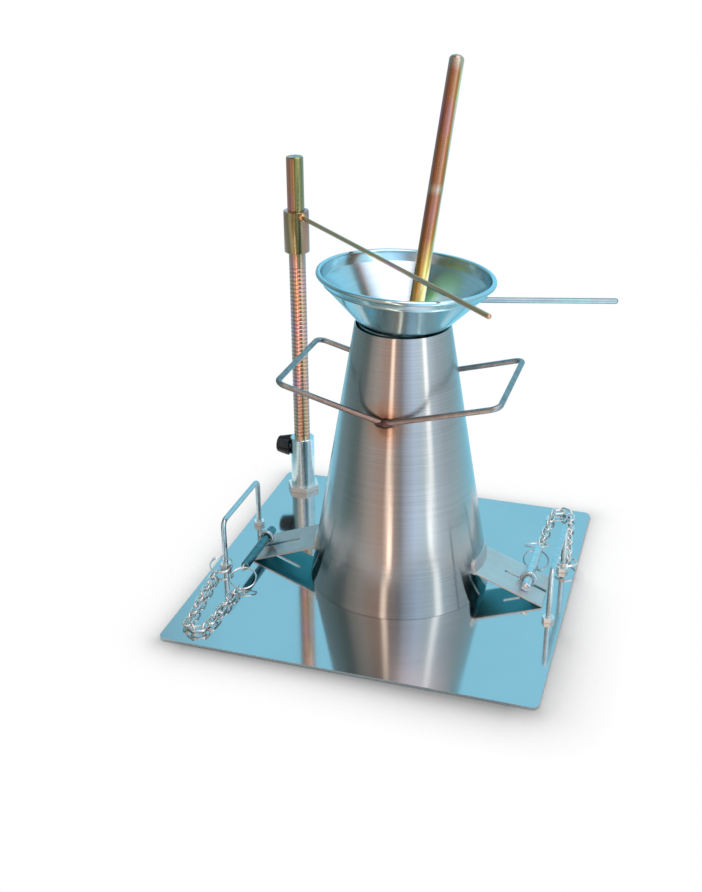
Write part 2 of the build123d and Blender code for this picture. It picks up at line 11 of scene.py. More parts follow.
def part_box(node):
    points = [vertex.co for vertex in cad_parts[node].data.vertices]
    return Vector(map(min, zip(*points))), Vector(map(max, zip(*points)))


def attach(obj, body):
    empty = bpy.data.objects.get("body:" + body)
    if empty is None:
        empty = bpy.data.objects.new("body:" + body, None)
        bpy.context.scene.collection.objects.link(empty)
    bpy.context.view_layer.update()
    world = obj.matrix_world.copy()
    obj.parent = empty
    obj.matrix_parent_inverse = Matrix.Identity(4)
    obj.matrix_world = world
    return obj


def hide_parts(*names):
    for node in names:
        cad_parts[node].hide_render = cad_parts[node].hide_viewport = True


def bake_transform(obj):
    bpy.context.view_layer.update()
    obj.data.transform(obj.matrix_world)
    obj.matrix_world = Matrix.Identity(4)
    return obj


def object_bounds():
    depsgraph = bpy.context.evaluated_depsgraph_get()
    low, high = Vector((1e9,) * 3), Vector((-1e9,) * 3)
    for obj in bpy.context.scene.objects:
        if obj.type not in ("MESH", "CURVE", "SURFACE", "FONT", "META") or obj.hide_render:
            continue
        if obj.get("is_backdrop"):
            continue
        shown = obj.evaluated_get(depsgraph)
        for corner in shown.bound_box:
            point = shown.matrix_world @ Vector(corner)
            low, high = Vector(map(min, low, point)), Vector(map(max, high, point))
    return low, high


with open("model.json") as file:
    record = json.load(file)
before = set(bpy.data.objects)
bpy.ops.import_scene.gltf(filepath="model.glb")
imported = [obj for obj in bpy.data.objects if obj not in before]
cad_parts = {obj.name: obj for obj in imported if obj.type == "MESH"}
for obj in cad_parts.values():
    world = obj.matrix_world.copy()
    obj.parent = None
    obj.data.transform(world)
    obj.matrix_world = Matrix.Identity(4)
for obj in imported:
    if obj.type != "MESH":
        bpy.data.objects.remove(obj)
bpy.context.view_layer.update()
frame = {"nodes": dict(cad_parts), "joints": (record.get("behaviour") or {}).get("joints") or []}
scene = bpy.context.scene
MM = 0.001
BLACK = (0, 0, 0)
WHITE = (1, 1, 1)

# Where the pieces stand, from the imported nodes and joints


def middle(node):
    """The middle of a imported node's box."""
    low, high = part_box(node)
    return (low + high) / 2


def on_axis(node, height):
    """The point on a node's upright axis at a height."""
    centre = middle(node)
    return Vector((centre.x, centre.y, height))


def joint_axis(name):
    """The direction of a packed joint."""
    axes = [joint["axis"] for joint in frame["joints"] if joint["name"] == name]
    return Vector(axes[0]).normalized()


cone_low, cone_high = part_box("cone_shell")
cone_axis = on_axis("cone_shell", 0)
cone_base_radius = (cone_high.x - cone_low.x) / 2
cone_top_radius = 50.5 * MM
cone_wall = 1.5 * MM
plate_low, plate_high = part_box("base_plate")
rod_low, rod_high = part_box("graduated_rod")
rod_radius = (rod_high.x - rod_low.x) / 2
tamping_radius = 8 * MM
tamping_length = 594 * MM
weld_low, weld_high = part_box("handle_welds")
weld_height = (weld_low.z + weld_high.z) / 2


# Helpers for node trees


def add_node(tree, kind, inputs=None, **settings):
    """Adds a node, sets its properties, and fills its inputs with values or links."""
    made = tree.nodes.new(kind)
    for name, value in settings.items():
        setattr(made, name, value)
    for key, value in (inputs or {}).items():
        if isinstance(value, bpy.types.NodeSocket):
            tree.links.new(value, made.inputs[key])
        else:
            made.inputs[key].default_value = value
    return made


def new_group(name, kind, inputs, outputs):
    """A node group with named sockets: returns the tree, its input node and its output node."""
    tree = bpy.data.node_groups.new(name, kind)
    for socket, socket_kind, value in inputs:
        made = tree.interface.new_socket(socket, in_out="INPUT", socket_type="NodeSocket" + socket_kind)
        if value is not None:
            made.default_value = value
    for socket, socket_kind in outputs:
        tree.interface.new_socket(socket, in_out="OUTPUT", socket_type="NodeSocket" + socket_kind)
    return tree, tree.nodes.new("NodeGroupInput"), tree.nodes.new("NodeGroupOutput")


def use_group(tree, group, **inputs):
    """Places a shared group, with its inputs by name, and gives its outputs."""
    return add_node(tree, "ShaderNodeGroup", inputs, node_tree=group).outputs


def stretch(tree, vector, scale):
    """The vector with each of its parts scaled."""
    return add_node(tree, "ShaderNodeMapping", {"Vector": vector, "Scale": scale}).outputs["Vector"]


def split(tree, vector):
    """The X, Y and Z parts of a vector."""
    return tuple(add_node(tree, "ShaderNodeSeparateXYZ", {0: vector}).outputs)


def join(tree, x=0.0, y=0.0, z=0.0):
    """A vector from its parts."""
    return add_node(tree, "ShaderNodeCombineXYZ", {0: x, 1: y, 2: z}).outputs[0]


def length_of(tree, vector):
    """The length of a vector."""
    return add_node(tree, "ShaderNodeVectorMath", {0: vector}, operation="LENGTH").outputs["Value"]


def noise(tree, vector, scale, detail=3.0, roughness=0.55):
    """Smooth noise between 0 and 1."""
    sockets = {"Vector": vector, "Scale": scale, "Detail": detail, "Roughness": roughness}
    return add_node(tree, "ShaderNodeTexNoise", sockets).outputs["Fac"]


def remap(tree, value, low, high, to_low=0.0, to_high=1.0):
    """The value moved from one range to another, and held inside it."""
    sockets = {"Value": value, "From Min": low, "From Max": high, "To Min": to_low, "To Max": to_high}
    return add_node(tree, "ShaderNodeMapRange", sockets).outputs["Result"]


def math_of(tree, operation, first, second=0.0, third=0.0):
    """One step of arithmetic."""
    return add_node(tree, "ShaderNodeMath", {0: first, 1: second, 2: third}, operation=operation).outputs[0]


def times(tree, first, second):
    """The product of two values."""
    return math_of(tree, "MULTIPLY", first, second)


def plus(tree, first, second):
    """The sum of two values."""
    return math_of(tree, "ADD", first, second)


def gap(tree, first, second):
    """How far apart two values are."""
    return math_of(tree, "ABSOLUTE", math_of(tree, "SUBTRACT", first, second))


def mix_colour(tree, factor, first, second, blend="MIX"):
    """Two colours, written out or linked, mixed by a factor."""
    sockets = {"Factor": factor}
    for place, colour in ((6, first), (7, second)):
        sockets[place] = (*colour, 1.0) if isinstance(colour, tuple) else colour
    return add_node(tree, "ShaderNodeMix", sockets, data_type="RGBA", blend_type=blend).outputs[2]


def clouded(tree, cloud, dark, light):
    """A tone that drifts between two colours with a noise."""
    return mix_colour(tree, remap(tree, cloud, 0.3, 0.7), dark, light)


def ramp(tree, value, stops):
    """A colour ramp through (place, colour) stops."""
    made = add_node(tree, "ShaderNodeValToRGB", {"Fac": value})
    elements = made.color_ramp.elements
    while len(elements) < len(stops):
        elements.new(1.0)
    for element, (place, colour) in zip(elements, stops):
        element.position = place
        element.color = (*colour, 1.0)
    return made.outputs["Color"]


# Shared surface effects


def make_handling_marks():
    """Faint finger smudges and short stray scratches, for every bright surface."""
    inputs = [("Vector", "Vector", None), ("Smudges", "Float", 9.0), ("Scratches", "Float", 160.0)]
    outputs = [("Smudge", "Float"), ("Scratch", "Float")]
    tree, start, end = new_group("handling_marks", "ShaderNodeTree", inputs, outputs)
    place = start.outputs["Vector"]
    smudge = noise(tree, place, start.outputs["Smudges"], detail=4.0, roughness=0.6)
    tree.links.new(remap(tree, smudge, 0.35, 0.75), end.inputs["Smudge"])
    lengthwise = noise(tree, stretch(tree, place, (1.0, 0.06, 0.5)), start.outputs["Scratches"], detail=2.0)
    crosswise = noise(tree, stretch(tree, place, (0.07, 1.0, 0.4)), start.outputs["Scratches"], detail=2.0)
    scratch = math_of(tree, "MAXIMUM", lengthwise, crosswise)
    tree.links.new(remap(tree, scratch, 0.68, 0.8), end.inputs["Scratch"])
    return tree


def make_brush_lines():
    """Fine lines that run round a turned or brushed surface, whose axis is Z."""
    inputs = [("Vector", "Vector", None), ("Lines", "Float", 1500.0), ("Drift", "Float", 6.0)]
    outputs = [("Line", "Float"), ("Cloud", "Float")]
    tree, start, end = new_group("brush_lines", "ShaderNodeTree", inputs, outputs)
    x, y, z = split(tree, start.outputs["Vector"])
    drift = start.outputs["Drift"]
    lines = join(tree, times(tree, x, drift), times(tree, y, drift), times(tree, z, start.outputs["Lines"]))
    fine = noise(tree, lines, 1.0, detail=3.0, roughness=0.7)
    tree.links.new(remap(tree, fine, 0.25, 0.75), end.inputs["Line"])
    cloud = noise(tree, start.outputs["Vector"], 14.0, detail=3.0)
    tree.links.new(remap(tree, cloud, 0.3, 0.7), end.inputs["Cloud"])
    return tree


handling_marks = make_handling_marks()
brush_lines = make_brush_lines()


# Helpers for materials


def new_material(name):
    """An empty material: returns it, its tree and its principled shader."""
    material = bpy.data.materials.new(name)
    material.use_nodes = True
    tree = material.node_tree
    return material, tree, tree.nodes["Principled BSDF"]


def object_place(tree):
    """Object coordinates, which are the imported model's own."""
    return add_node(tree, "ShaderNodeTexCoord").outputs["Object"]


def turned_place(tree):
    """A turned piece's own coordinates, with its axis along Z."""
    return add_node(tree, "ShaderNodeAttribute", attribute_name="turned").outputs["Vector"]


def facing_up(tree):
    """How far a face looks up, from 1 down to -1 where it looks down."""
    return split(tree, add_node(tree, "ShaderNodeNewGeometry").outputs["True Normal"])[2]


def set_metal(tree, shader, colour, roughness, worn, wear, bare=1.0):
    """Gives the shader a metal's colour, and a roughness that grows where the metal is worn."""
    tree.links.new(colour, shader.inputs["Base Color"])
    tree.links.new(math_of(tree, "MULTIPLY_ADD", worn, wear, roughness), shader.inputs["Roughness"])
    shader.inputs["Metallic"].default_value = bare


def brush_round(tree, shader, strength):
    """Draws the shine out across lines that run round Z."""
    shader.inputs["Anisotropic"].default_value = strength
    shader.inputs["Anisotropic Rotation"].default_value = 0.25
    tangent = add_node(tree, "ShaderNodeTangent", direction_type="RADIAL", axis="Z")
    tree.links.new(tangent.outputs[0], shader.inputs["Tangent"])


def bump(tree, shader, height, strength, distance):
    """Feeds a height to the shader's normal."""
    sockets = {"Height": height, "Strength": strength, "Distance": distance}
    made = add_node(tree, "ShaderNodeBump", sockets)
    tree.links.new(made.outputs["Normal"], shader.inputs["Normal"])


def there_and_back(colours):
    """Ramp stops that run through the colours over half a turn, and back over the other half."""
    step = 0.5 / (len(colours) - 1)
    stops = [(number * step, colour) for number, colour in enumerate(colours)]
    return stops + [(1.0 - place, colour) for place, colour in reversed(stops[:-1])]


# Materials


def make_polished_plate():
    """Mirror sheet with a faint waviness and a few scratches."""
    material, tree, shader = new_material("polished_plate")
    place = object_place(tree)
    marks = use_group(tree, handling_marks, Vector=place, Smudges=7.0, Scratches=120.0)
    tone = mix_colour(tree, marks["Smudge"], (0.60, 0.65, 0.67), (0.66, 0.69, 0.70))
    set_metal(tree, shader, tone, 0.075, marks["Smudge"], 0.03)
    wave = noise(tree, place, 11.0, detail=1.0)
    bump(tree, shader, plus(tree, wave, times(tree, marks["Scratch"], 0.02)), 0.10, 0.6 * MM)
    return material


def make_brushed_cone():
    """Stainless sheet brushed round the cone, with brown heat tint at the two handle welds."""
    material, tree, shader = new_material("brushed_cone")
    place = add_node(tree, "ShaderNodeMapping", {"Vector": object_place(tree), "Location": -cone_axis})
    place = place.outputs["Vector"]
    lines = use_group(tree, brush_lines, Vector=place, Lines=640.0, Drift=5.0)
    marks = use_group(tree, handling_marks, Vector=place, Smudges=11.0, Scratches=90.0)
    steel = mix_colour(tree, lines["Line"], (0.44, 0.45, 0.45), (0.52, 0.53, 0.53))
    steel = mix_colour(tree, times(tree, lines["Cloud"], 0.2), steel, (0.40, 0.42, 0.42))
    x, y, z = split(tree, place)
    front_half = join(tree, x, times(tree, math_of(tree, "ABSOLUTE", y), -1.0), z)
    front_weld = (0.0, -(weld_high.y - weld_low.y) / 2, weld_height)
    away = add_node(tree, "ShaderNodeVectorMath", {0: front_half, 1: front_weld}, operation="DISTANCE")
    reach = plus(tree, away.outputs["Value"], times(tree, noise(tree, place, 90.0), 12 * MM))
    straw = remap(tree, reach, 14 * MM, 36 * MM, 0.8, 0.0)
    brown = remap(tree, reach, 10 * MM, 22 * MM, 0.9, 0.0)
    steel = mix_colour(tree, straw, steel, (0.52, 0.31, 0.19))
    steel = mix_colour(tree, brown, steel, (0.16, 0.08, 0.055))
    set_metal(tree, shader, steel, 0.12, lines["Line"], 0.05)
    brush_round(tree, shader, 1.0)
    bump(tree, shader, plus(tree, lines["Line"], times(tree, marks["Scratch"], 0.6)), 0.06, 0.2 * MM)
    return material


def make_spun_funnel():
    """Polished sheet with the fine rings that spinning leaves, and painted light that brightens the faces
    which look up, as within the flare.
    """
    material, tree, shader = new_material("spun_funnel")
    place = turned_place(tree)
    lines = use_group(tree, brush_lines, Vector=place, Lines=900.0, Drift=8.0)
    marks = use_group(tree, handling_marks, Vector=place, Smudges=16.0, Scratches=130.0)
    sheet = mix_colour(tree, lines["Line"], (0.38, 0.60, 0.65), (0.47, 0.69, 0.74))
    sheet = mix_colour(tree, times(tree, marks["Smudge"], 0.3), sheet, (0.32, 0.52, 0.57))
    # Painted light: faces that look up are made brighter.
    painted_light_upward = remap(tree, facing_up(tree), 0.2, 0.5)
    sheet = mix_colour(tree, painted_light_upward, sheet, (1.36, 1.30, 1.36), "MULTIPLY")
    set_metal(tree, shader, sheet, 0.15, marks["Smudge"], 0.08)
    brush_round(tree, shader, 0.6)
    bump(tree, shader, lines["Line"], 0.04, 0.2 * MM)
    return material


def make_yellow_zinc(name, left_edge, colours, lower=None, worn=None, roughness=0.17):
    """Yellow passivated zinc: its colours run along the bar in wavering bands, and come back behind it.

    The bands hold the zinc's own tint and painted light: a darker side and bright painted highlight lines
    across the bar.
    They start at the bar's left edge, which is an angle round its axis in degrees.
    Up to a height a rod may have other colours, with painted shade in brown in the grooves cut below its
    surface radius.
    A worn bar is rubbed pale past one length, and round a scuff at another.
    """
    material, tree, shader = new_material(name)
    place = turned_place(tree)
    x, y, z = split(tree, place)
    drift = noise(tree, stretch(tree, place, (60.0, 60.0, 9.0)), 1.0, detail=4.0)
    turn = times(tree, math_of(tree, "ARCTAN2", y, x), 0.5 / math.pi)
    turn = plus(tree, turn, 1.0 - left_edge / 360)
    turn = math_of(tree, "FRACT", plus(tree, turn, remap(tree, drift, 0.3, 0.7, -0.04, 0.04)))
    # Painted light: round the bar the bands hold a darker side and bright highlight lines, besides the
    # zinc's own tint.
    bloom = ramp(tree, turn, there_and_back(colours))
    if lower is not None:
        height, surface, lower_colours = lower
        share = plus(tree, z, times(tree, drift, 40 * MM))
        share = remap(tree, share, height, height + 40 * MM, 1.0, 0.0)
        bloom = mix_colour(tree, share, bloom, ramp(tree, turn, there_and_back(lower_colours)))
        radius = length_of(tree, join(tree, x, y))
        # Painted shade: the grooves cut below the surface are darkened brown.
        groove_painted_shade = remap(tree, radius, surface - 0.35 * MM, surface - 0.1 * MM, 0.4, 0.0)
        bloom = mix_colour(tree, times(tree, groove_painted_shade, share), bloom, (0.20, 0.09, 0.06))
    patch = noise(tree, stretch(tree, place, (25.0, 25.0, 16.0)), 1.0, detail=3.0)
    patch = remap(tree, patch, 0.50, 0.62, 0.0, 0.6)
    bloom = mix_colour(tree, patch, bloom, (1.06, 0.92, 1.70), "MULTIPLY")
    if worn is not None:
        worn_from, scuffed_at = worn
        reach = plus(tree, z, times(tree, drift, 12 * MM))
        rubbed = remap(tree, reach, worn_from, worn_from + 12 * MM, 0.0, 0.75)
        scuff = remap(tree, gap(tree, reach, scuffed_at), 1 * MM, 7 * MM, 0.6, 0.0)
        bloom = mix_colour(tree, math_of(tree, "MAXIMUM", rubbed, scuff), bloom, (0.60, 0.58, 0.47))
    marks = use_group(tree, handling_marks, Vector=place, Smudges=60.0, Scratches=300.0)
    bloom = mix_colour(tree, times(tree, marks["Scratch"], 0.30), bloom, (0.62, 0.58, 0.48))
    set_metal(tree, shader, bloom, roughness, marks["Smudge"], 0.10)
    lines = use_group(tree, brush_lines, Vector=place, Lines=1800.0, Drift=20.0)
    bump(tree, shader, lines["Line"], 0.05, 0.2 * MM)
    return material


def make_bright_zinc(name, dark, light, roughness, grain, relief=0.08, bare=1.0):
    """Bright plated steel with a fine cloudy grain, and a white bloom where it isn't all bare metal."""
    material, tree, shader = new_material(name)
    place = object_place(tree)
    cloud = noise(tree, place, grain, detail=4.0)
    marks = use_group(tree, handling_marks, Vector=place, Smudges=70.0, Scratches=420.0)
    set_metal(tree, shader, clouded(tree, cloud, dark, light), roughness, marks["Smudge"], 0.10, bare)
    bump(tree, shader, plus(tree, cloud, times(tree, marks["Scratch"], 0.5)), relief, 0.2 * MM)
    return material


def make_lug_sheet():
    """Sheared stainless sheet, brushed along the lug, with painted shade that tints the faces which look
    down a dark teal.
    """
    material, tree, shader = new_material("lug_sheet")
    place = object_place(tree)
    grain = noise(tree, stretch(tree, place, (25.0, 1300.0, 25.0)), 1.0, detail=3.0, roughness=0.65)
    marks = use_group(tree, handling_marks, Vector=place, Smudges=30.0, Scratches=260.0)
    sheet = clouded(tree, grain, (0.67, 0.64, 0.63), (0.84, 0.79, 0.78))
    sheet = mix_colour(tree, times(tree, marks["Smudge"], 0.35), sheet, (0.56, 0.53, 0.53))
    # Painted shade: faces that look down are tinted a dark teal.
    painted_shade_underneath = remap(tree, facing_up(tree), -0.4, -0.7)
    sheet = mix_colour(tree, painted_shade_underneath, sheet, (0.15, 0.52, 0.55))
    set_metal(tree, shader, sheet, 0.30, marks["Smudge"], 0.12)
    bump(tree, shader, plus(tree, grain, times(tree, marks["Scratch"], 0.8)), 0.10, 0.2 * MM)
    return material


def make_handle_steel():
    """Drawn stainless wire, browned by the weld's heat near the cone's front and back."""
    material, tree, shader = new_material("handle_steel")
    place = object_place(tree)
    cloud = noise(tree, place, 130.0, detail=4.0)
    marks = use_group(tree, handling_marks, Vector=place, Smudges=45.0, Scratches=320.0)
    wire = clouded(tree, cloud, (0.26, 0.28, 0.29), (0.42, 0.44, 0.44))
    away = gap(tree, split(tree, place)[0], cone_axis.x)
    reach = plus(tree, away, times(tree, cloud, 20 * MM))
    wire = mix_colour(tree, remap(tree, reach, 20 * MM, 110 * MM, 0.85, 0.0), wire, (0.36, 0.29, 0.27))
    set_metal(tree, shader, wire, 0.28, marks["Smudge"], 0.12)
    bump(tree, shader, cloud, 0.12, 0.3 * MM)
    return material


def make_weld_metal(name, dark, light, roughness):
    """Rippled weld or braze metal."""
    material, tree, shader = new_material(name)
    cloud = noise(tree, object_place(tree), 420.0, detail=4.0)
    set_metal(tree, shader, clouded(tree, cloud, dark, light), roughness, remap(tree, cloud, 0.2, 0.8), 0.15)
    bump(tree, shader, cloud, 0.35, 0.6 * MM)
    return material


def make_black_knob():
    """Moulded black plastic with a fine grain."""
    material, tree, shader = new_material("black_knob")
    place = object_place(tree)
    grain = noise(tree, place, 900.0, detail=2.0)
    rub = noise(tree, place, 60.0, detail=3.0)
    tone = mix_colour(tree, remap(tree, rub, 0.4, 0.7), (0.012, 0.013, 0.015), (0.03, 0.032, 0.036))
    tree.links.new(tone, shader.inputs["Base Color"])
    tree.links.new(remap(tree, rub, 0.3, 0.7, 0.32, 0.5), shader.inputs["Roughness"])
    bump(tree, shader, grain, 0.15, 0.3 * MM)
    return material


polished_plate = make_polished_plate()
brushed_cone = make_brushed_cone()
spun_funnel = make_spun_funnel()
lug_sheet = make_lug_sheet()
handle_steel = make_handle_steel()
weld_metal = make_weld_metal("weld_metal", (0.06, 0.04, 0.045), (0.24, 0.14, 0.12), 0.3)
braze_metal = make_weld_metal("braze_metal", (0.62, 0.32, 0.12), (0.92, 0.62, 0.34), 0.22)
black_knob = make_black_knob()

bright_wire = make_bright_zinc("bright_wire", (0.50, 0.65, 0.70), (0.66, 0.80, 0.84), 0.14, 240.0)
grip_wire = make_bright_zinc("grip_wire", (0.28, 0.39, 0.43), (0.37, 0.47, 0.50), 0.16, 60.0, 0.01)
# One pin metal in two copies: with painted shade, dark teal, for the left pin, and with painted light, pale,
# for the right.
pin_painted_shade = make_bright_zinc("pin_painted_shade", (0.06, 0.18, 0.22), (0.15, 0.33, 0.37), 0.14, 240.0)
pin_painted_light = make_bright_zinc("pin_painted_light", (0.60, 0.70, 0.74), (0.78, 0.84, 0.87), 0.12, 240.0)
chain_zinc = make_bright_zinc("chain_zinc", (0.82, 0.82, 0.79), (0.98, 0.97, 0.94), 0.09, 500.0)
bright_socket = make_bright_zinc("bright_socket", (0.64, 0.82, 0.87), (0.78, 0.94, 0.97), 0.20, 120.0)
bright_nut = make_bright_zinc("bright_nut", (0.86, 0.91, 0.90), (0.97, 0.98, 0.95), 0.16, 120.0, bare=0.65)
sheared_edge = make_bright_zinc("sheared_edge", (0.50, 0.62, 0.66), (0.66, 0.76, 0.79), 0.30, 300.0)
lug_edge = make_bright_zinc("lug_edge", (0.58, 0.65, 0.66), (0.74, 0.80, 0.81), 0.34, 300.0)

upright_left = -162.0
sleeve_left = upright_left + 180
tamping_left = 22.7
# Colours across each bar from its left edge: the zinc's own tint, with painted light in a darker side and
# bright highlight lines.
olive_tint_and_painted_light = [
    (0.88, 0.40, 0.24), (0.88, 0.40, 0.24), (0.94, 0.44, 0.30), (0.50, 0.31, 0.20), (0.25, 0.22, 0.07),
    (0.50, 0.44, 0.17), (0.26, 0.28, 0.14), (0.56, 0.41, 0.33), (0.62, 0.43, 0.38),
]
copper_tint_and_painted_light = [
    (1.00, 0.52, 0.38), (1.00, 0.56, 0.42), (1.00, 0.72, 0.56), (0.84, 0.58, 0.46), (1.00, 0.54, 0.30),
    (1.00, 0.76, 0.42), (0.92, 0.56, 0.42), (0.90, 0.42, 0.30), (0.88, 0.42, 0.32),
]
sleeve_tint_and_painted_light = [
    (1.00, 0.52, 0.40), (1.00, 0.50, 0.38), (0.68, 0.43, 0.27), (0.62, 0.55, 0.30), (0.17, 0.17, 0.06),
    (0.34, 0.29, 0.16), (0.48, 0.30, 0.21), (0.70, 0.30, 0.22), (0.75, 0.32, 0.24),
]
red_tint_and_painted_light = [
    (0.66, 0.31, 0.26), (0.66, 0.31, 0.26), (0.52, 0.21, 0.11), (0.34, 0.17, 0.08), (0.42, 0.235, 0.14),
    (0.48, 0.21, 0.105), (0.54, 0.29, 0.055), (1.00, 0.98, 0.56), (0.84, 0.52, 0.40),
]
gold_tint_and_painted_light = [
    (0.45, 0.30, 0.16), (0.45, 0.30, 0.16), (0.44, 0.27, 0.08), (0.46, 0.27, 0.06), (0.80, 0.60, 0.18),
    (1.00, 0.86, 0.26), (0.96, 0.92, 0.34), (1.00, 0.94, 0.66), (0.80, 0.42, 0.34),
]
dull_bands = [(0.74, 0.48, 0.32), (0.70, 0.46, 0.27), (0.68, 0.44, 0.25), (0.72, 0.47, 0.30)]
copper_height = 300 * MM
gold_height = 385 * MM
worn_end = 14 * MM
scuff_height = 459 * MM
rod_zinc = make_yellow_zinc("rod_zinc", upright_left, olive_tint_and_painted_light, (copper_height, rod_radius, copper_tint_and_painted_light))
sleeve_zinc = make_yellow_zinc("sleeve_zinc", sleeve_left, sleeve_tint_and_painted_light)
arm_zinc = make_yellow_zinc("arm_zinc", 0.0, dull_bands)
tamping_zinc = make_yellow_zinc(
    "tamping_zinc", tamping_left, red_tint_and_painted_light,
    lower=(gold_height, tamping_radius, gold_tint_and_painted_light),
    worn=(tamping_length - worn_end, scuff_height),
    roughness=0.25,
)


# Helpers for pieces


def add_object(name, data):
    """An object in the scene, from a mesh, lamp or camera."""
    made = bpy.data.objects.new(name, data)
    scene.collection.objects.link(made)
    return made


def shade(mesh, sharp):
    """Smooth shading, but for the edges sharper than an angle."""
    mesh.polygons.foreach_set("use_smooth", [True] * len(mesh.polygons))
    mesh.set_sharp_from_angle(angle=math.radians(sharp))


def add_piece(name, mesh, material, sharp=35.0):
    """A finished object from a mesh. With no sharp angle, the mesh keeps its own shading."""
    mesh.name = name
    mesh.materials.clear()
    mesh.materials.append(material)
    if sharp is not None:
        shade(mesh, sharp)
    return add_object(name, mesh)


def fit(piece, body, slot, *nodes):
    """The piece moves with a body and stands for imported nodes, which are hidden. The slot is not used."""
    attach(piece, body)
    if nodes:
        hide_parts(*nodes)


def mesh_of(shape, name):
    """A mesh from a finished bmesh, which is then freed."""
    mesh = bpy.data.meshes.new(name)
    shape.to_mesh(mesh)
    shape.free()
    return mesh


def applied(holder):
    """The mesh that an object's modifiers make. The object is removed, with the mesh it began with."""
    base = holder.data
    made = bpy.data.meshes.new_from_object(holder.evaluated_get(bpy.context.evaluated_depsgraph_get()))
    bpy.data.objects.remove(holder)
    bpy.data.meshes.remove(base)
    return made


def axis_frame(origin, axis):
    """A frame at a point, with its Z along an axis."""
    turn = Vector(axis).to_track_quat("Z", "Y").to_matrix().to_4x4()
    return Matrix.Translation(Vector(origin)) @ turn


def rounded(points, sizes, steps=4):
    """An outline with each of its corners softened by its own size. A corner with size 0 stays sharp."""
    out = []
    for number, point in enumerate(points):
        here = Vector(point)
        before = Vector(points[number - 1])
        after = Vector(points[(number + 1) % len(points)])
        cut = min(sizes[number], (before - here).length / 2, (after - here).length / 2)
        if cut <= 0:
            out.append(tuple(here))
            continue
        start = here + (before - here).normalized() * cut
        end = here + (after - here).normalized() * cut
        for step in range(steps + 1):
            t = step / steps
            out.append(tuple(start * (1 - t) ** 2 + here * 2 * t * (1 - t) + end * t ** 2))
    return out


def turned_mesh(profile, origin, axis=(0, 0, 1), sides=96, closed=True):
    """A turned solid: the outline of (radius, length) points goes round an axis."""
    place = axis_frame(origin, axis)
    shape = bmesh.new()
    local = shape.verts.layers.float_vector.new("turned")
    rings = []
    for radius, length in profile:
        ring = []
        for step in range(sides if radius > 1e-7 else 1):
            angle = 2 * math.pi * step / sides
            point = Vector((radius * math.cos(angle), radius * math.sin(angle), length))
            corner = shape.verts.new(place @ point)
            corner[local] = point
            ring.append(corner)
        rings.append(ring)
    pairs = list(zip(rings, rings[1:]))
    if closed:
        pairs.append((rings[-1], rings[0]))
    for lower, upper in pairs:
        for step in range(sides):
            after = step + 1
            corners = [
                lower[step % len(lower)],
                lower[after % len(lower)],
                upper[after % len(upper)],
                upper[step % len(upper)],
            ]
            shape.faces.new(list(dict.fromkeys(corners)))
    bmesh.ops.recalc_face_normals(shape, faces=shape.faces)
    return mesh_of(shape, "turned")


def bar_outline(radius, length, start_round, end_round, steps=8):
    """Half the outline of a round bar, with domed or chamfered ends: (radius, length) points."""
    arc = [math.pi / 2 * step / steps for step in range(steps + 1)]
    points = [(0.0, 0.0)]
    for angle in arc:
        points.append((radius - start_round * (1 - math.sin(angle)), start_round * (1 - math.cos(angle))))
    for angle in arc:
        inset = end_round * (1 - math.cos(angle))
        points.append((radius - inset, length - end_round * (1 - math.sin(angle))))
    points.append((0.0, length))
    clean = [points[0]]
    for point in points[1:]:
        if math.dist(point, clean[-1]) > 1e-7:
            clean.append(point)
    return clean


def bar_mesh(radius, length, rounds, origin, axis, sides, steps=8):
    """A round bar from a point along an axis, with its two ends rounded."""
    return turned_mesh(bar_outline(radius, length, *rounds, steps), origin, axis, sides, False)


def bead_mesh(centre, axis, length, radius, ripples, seed):
    """A lump of weld: a squat bead with ripples and an uneven outline."""
    shape = bmesh.new()
    bmesh.ops.create_icosphere(shape, subdivisions=4, radius=1.0)
    place = axis_frame(centre, axis)
    for corner in shape.verts:
        p = corner.co.copy()
        wave = math.sin(p.z * ripples * math.pi + seed) * 0.045
        wave += math.sin(p.x * 4.1 + seed * 1.7) * 0.05 + math.sin(p.y * 5.3 + p.z * 2.2 + seed) * 0.05
        corner.co = place @ Vector((p.x * radius * (1 + wave), p.y * radius * (1 + wave), p.z * length / 2))
    return mesh_of(shape, "bead")


def packed_shape(node):
    """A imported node's mesh as a bmesh, with its doubled corners joined."""
    shape = bmesh.new()
    shape.from_mesh(frame["nodes"][node].data)
    bmesh.ops.remove_doubles(shape, verts=shape.verts, dist=0.004 * MM)
    return shape


def softened(name, node, material, width, segments=2):
    """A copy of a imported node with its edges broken, as a finishing file leaves them."""
    flat = math.radians(1.0)
    sharp = 30.0
    mesh = frame["nodes"][node].data.copy()
    shape = packed_shape(node)
    bmesh.ops.dissolve_limit(shape, angle_limit=flat, verts=shape.verts, edges=shape.edges)
    shape.to_mesh(mesh)
    shape.free()
    shade(mesh, sharp)
    holder = add_object("holder", mesh)
    edge = holder.modifiers.new("edge", "BEVEL")
    edge.width = width
    edge.segments = segments
    edge.limit_method = "ANGLE"
    edge.angle_limit = math.radians(sharp)
    edge.harden_normals = True
    return add_piece(name, applied(holder), material, sharp=None)


def bare_edges(piece, width, material):
    """The narrow faces of a sheet piece show sheared metal."""
    mesh = piece.data
    mesh.materials.append(material)
    for face in mesh.polygons:
        corners = [mesh.vertices[number].co for number in face.vertices]
        longest = max((one - other).length for one, other in zip(corners, corners[1:] + corners[:1]))
        if face.area < longest * width:
            face.material_index = 1


def grown(tree, base, inputs):
    """The plain mesh that a geometry tree makes from a base mesh."""
    holder = add_object("holder", base)
    maker = holder.modifiers.new("maker", "NODES")
    maker.node_group = tree
    for socket in tree.interface.items_tree:
        if socket.item_type == "SOCKET" and socket.in_out == "INPUT" and socket.name in inputs:
            maker[socket.identifier] = inputs[socket.name]
    return applied(holder)


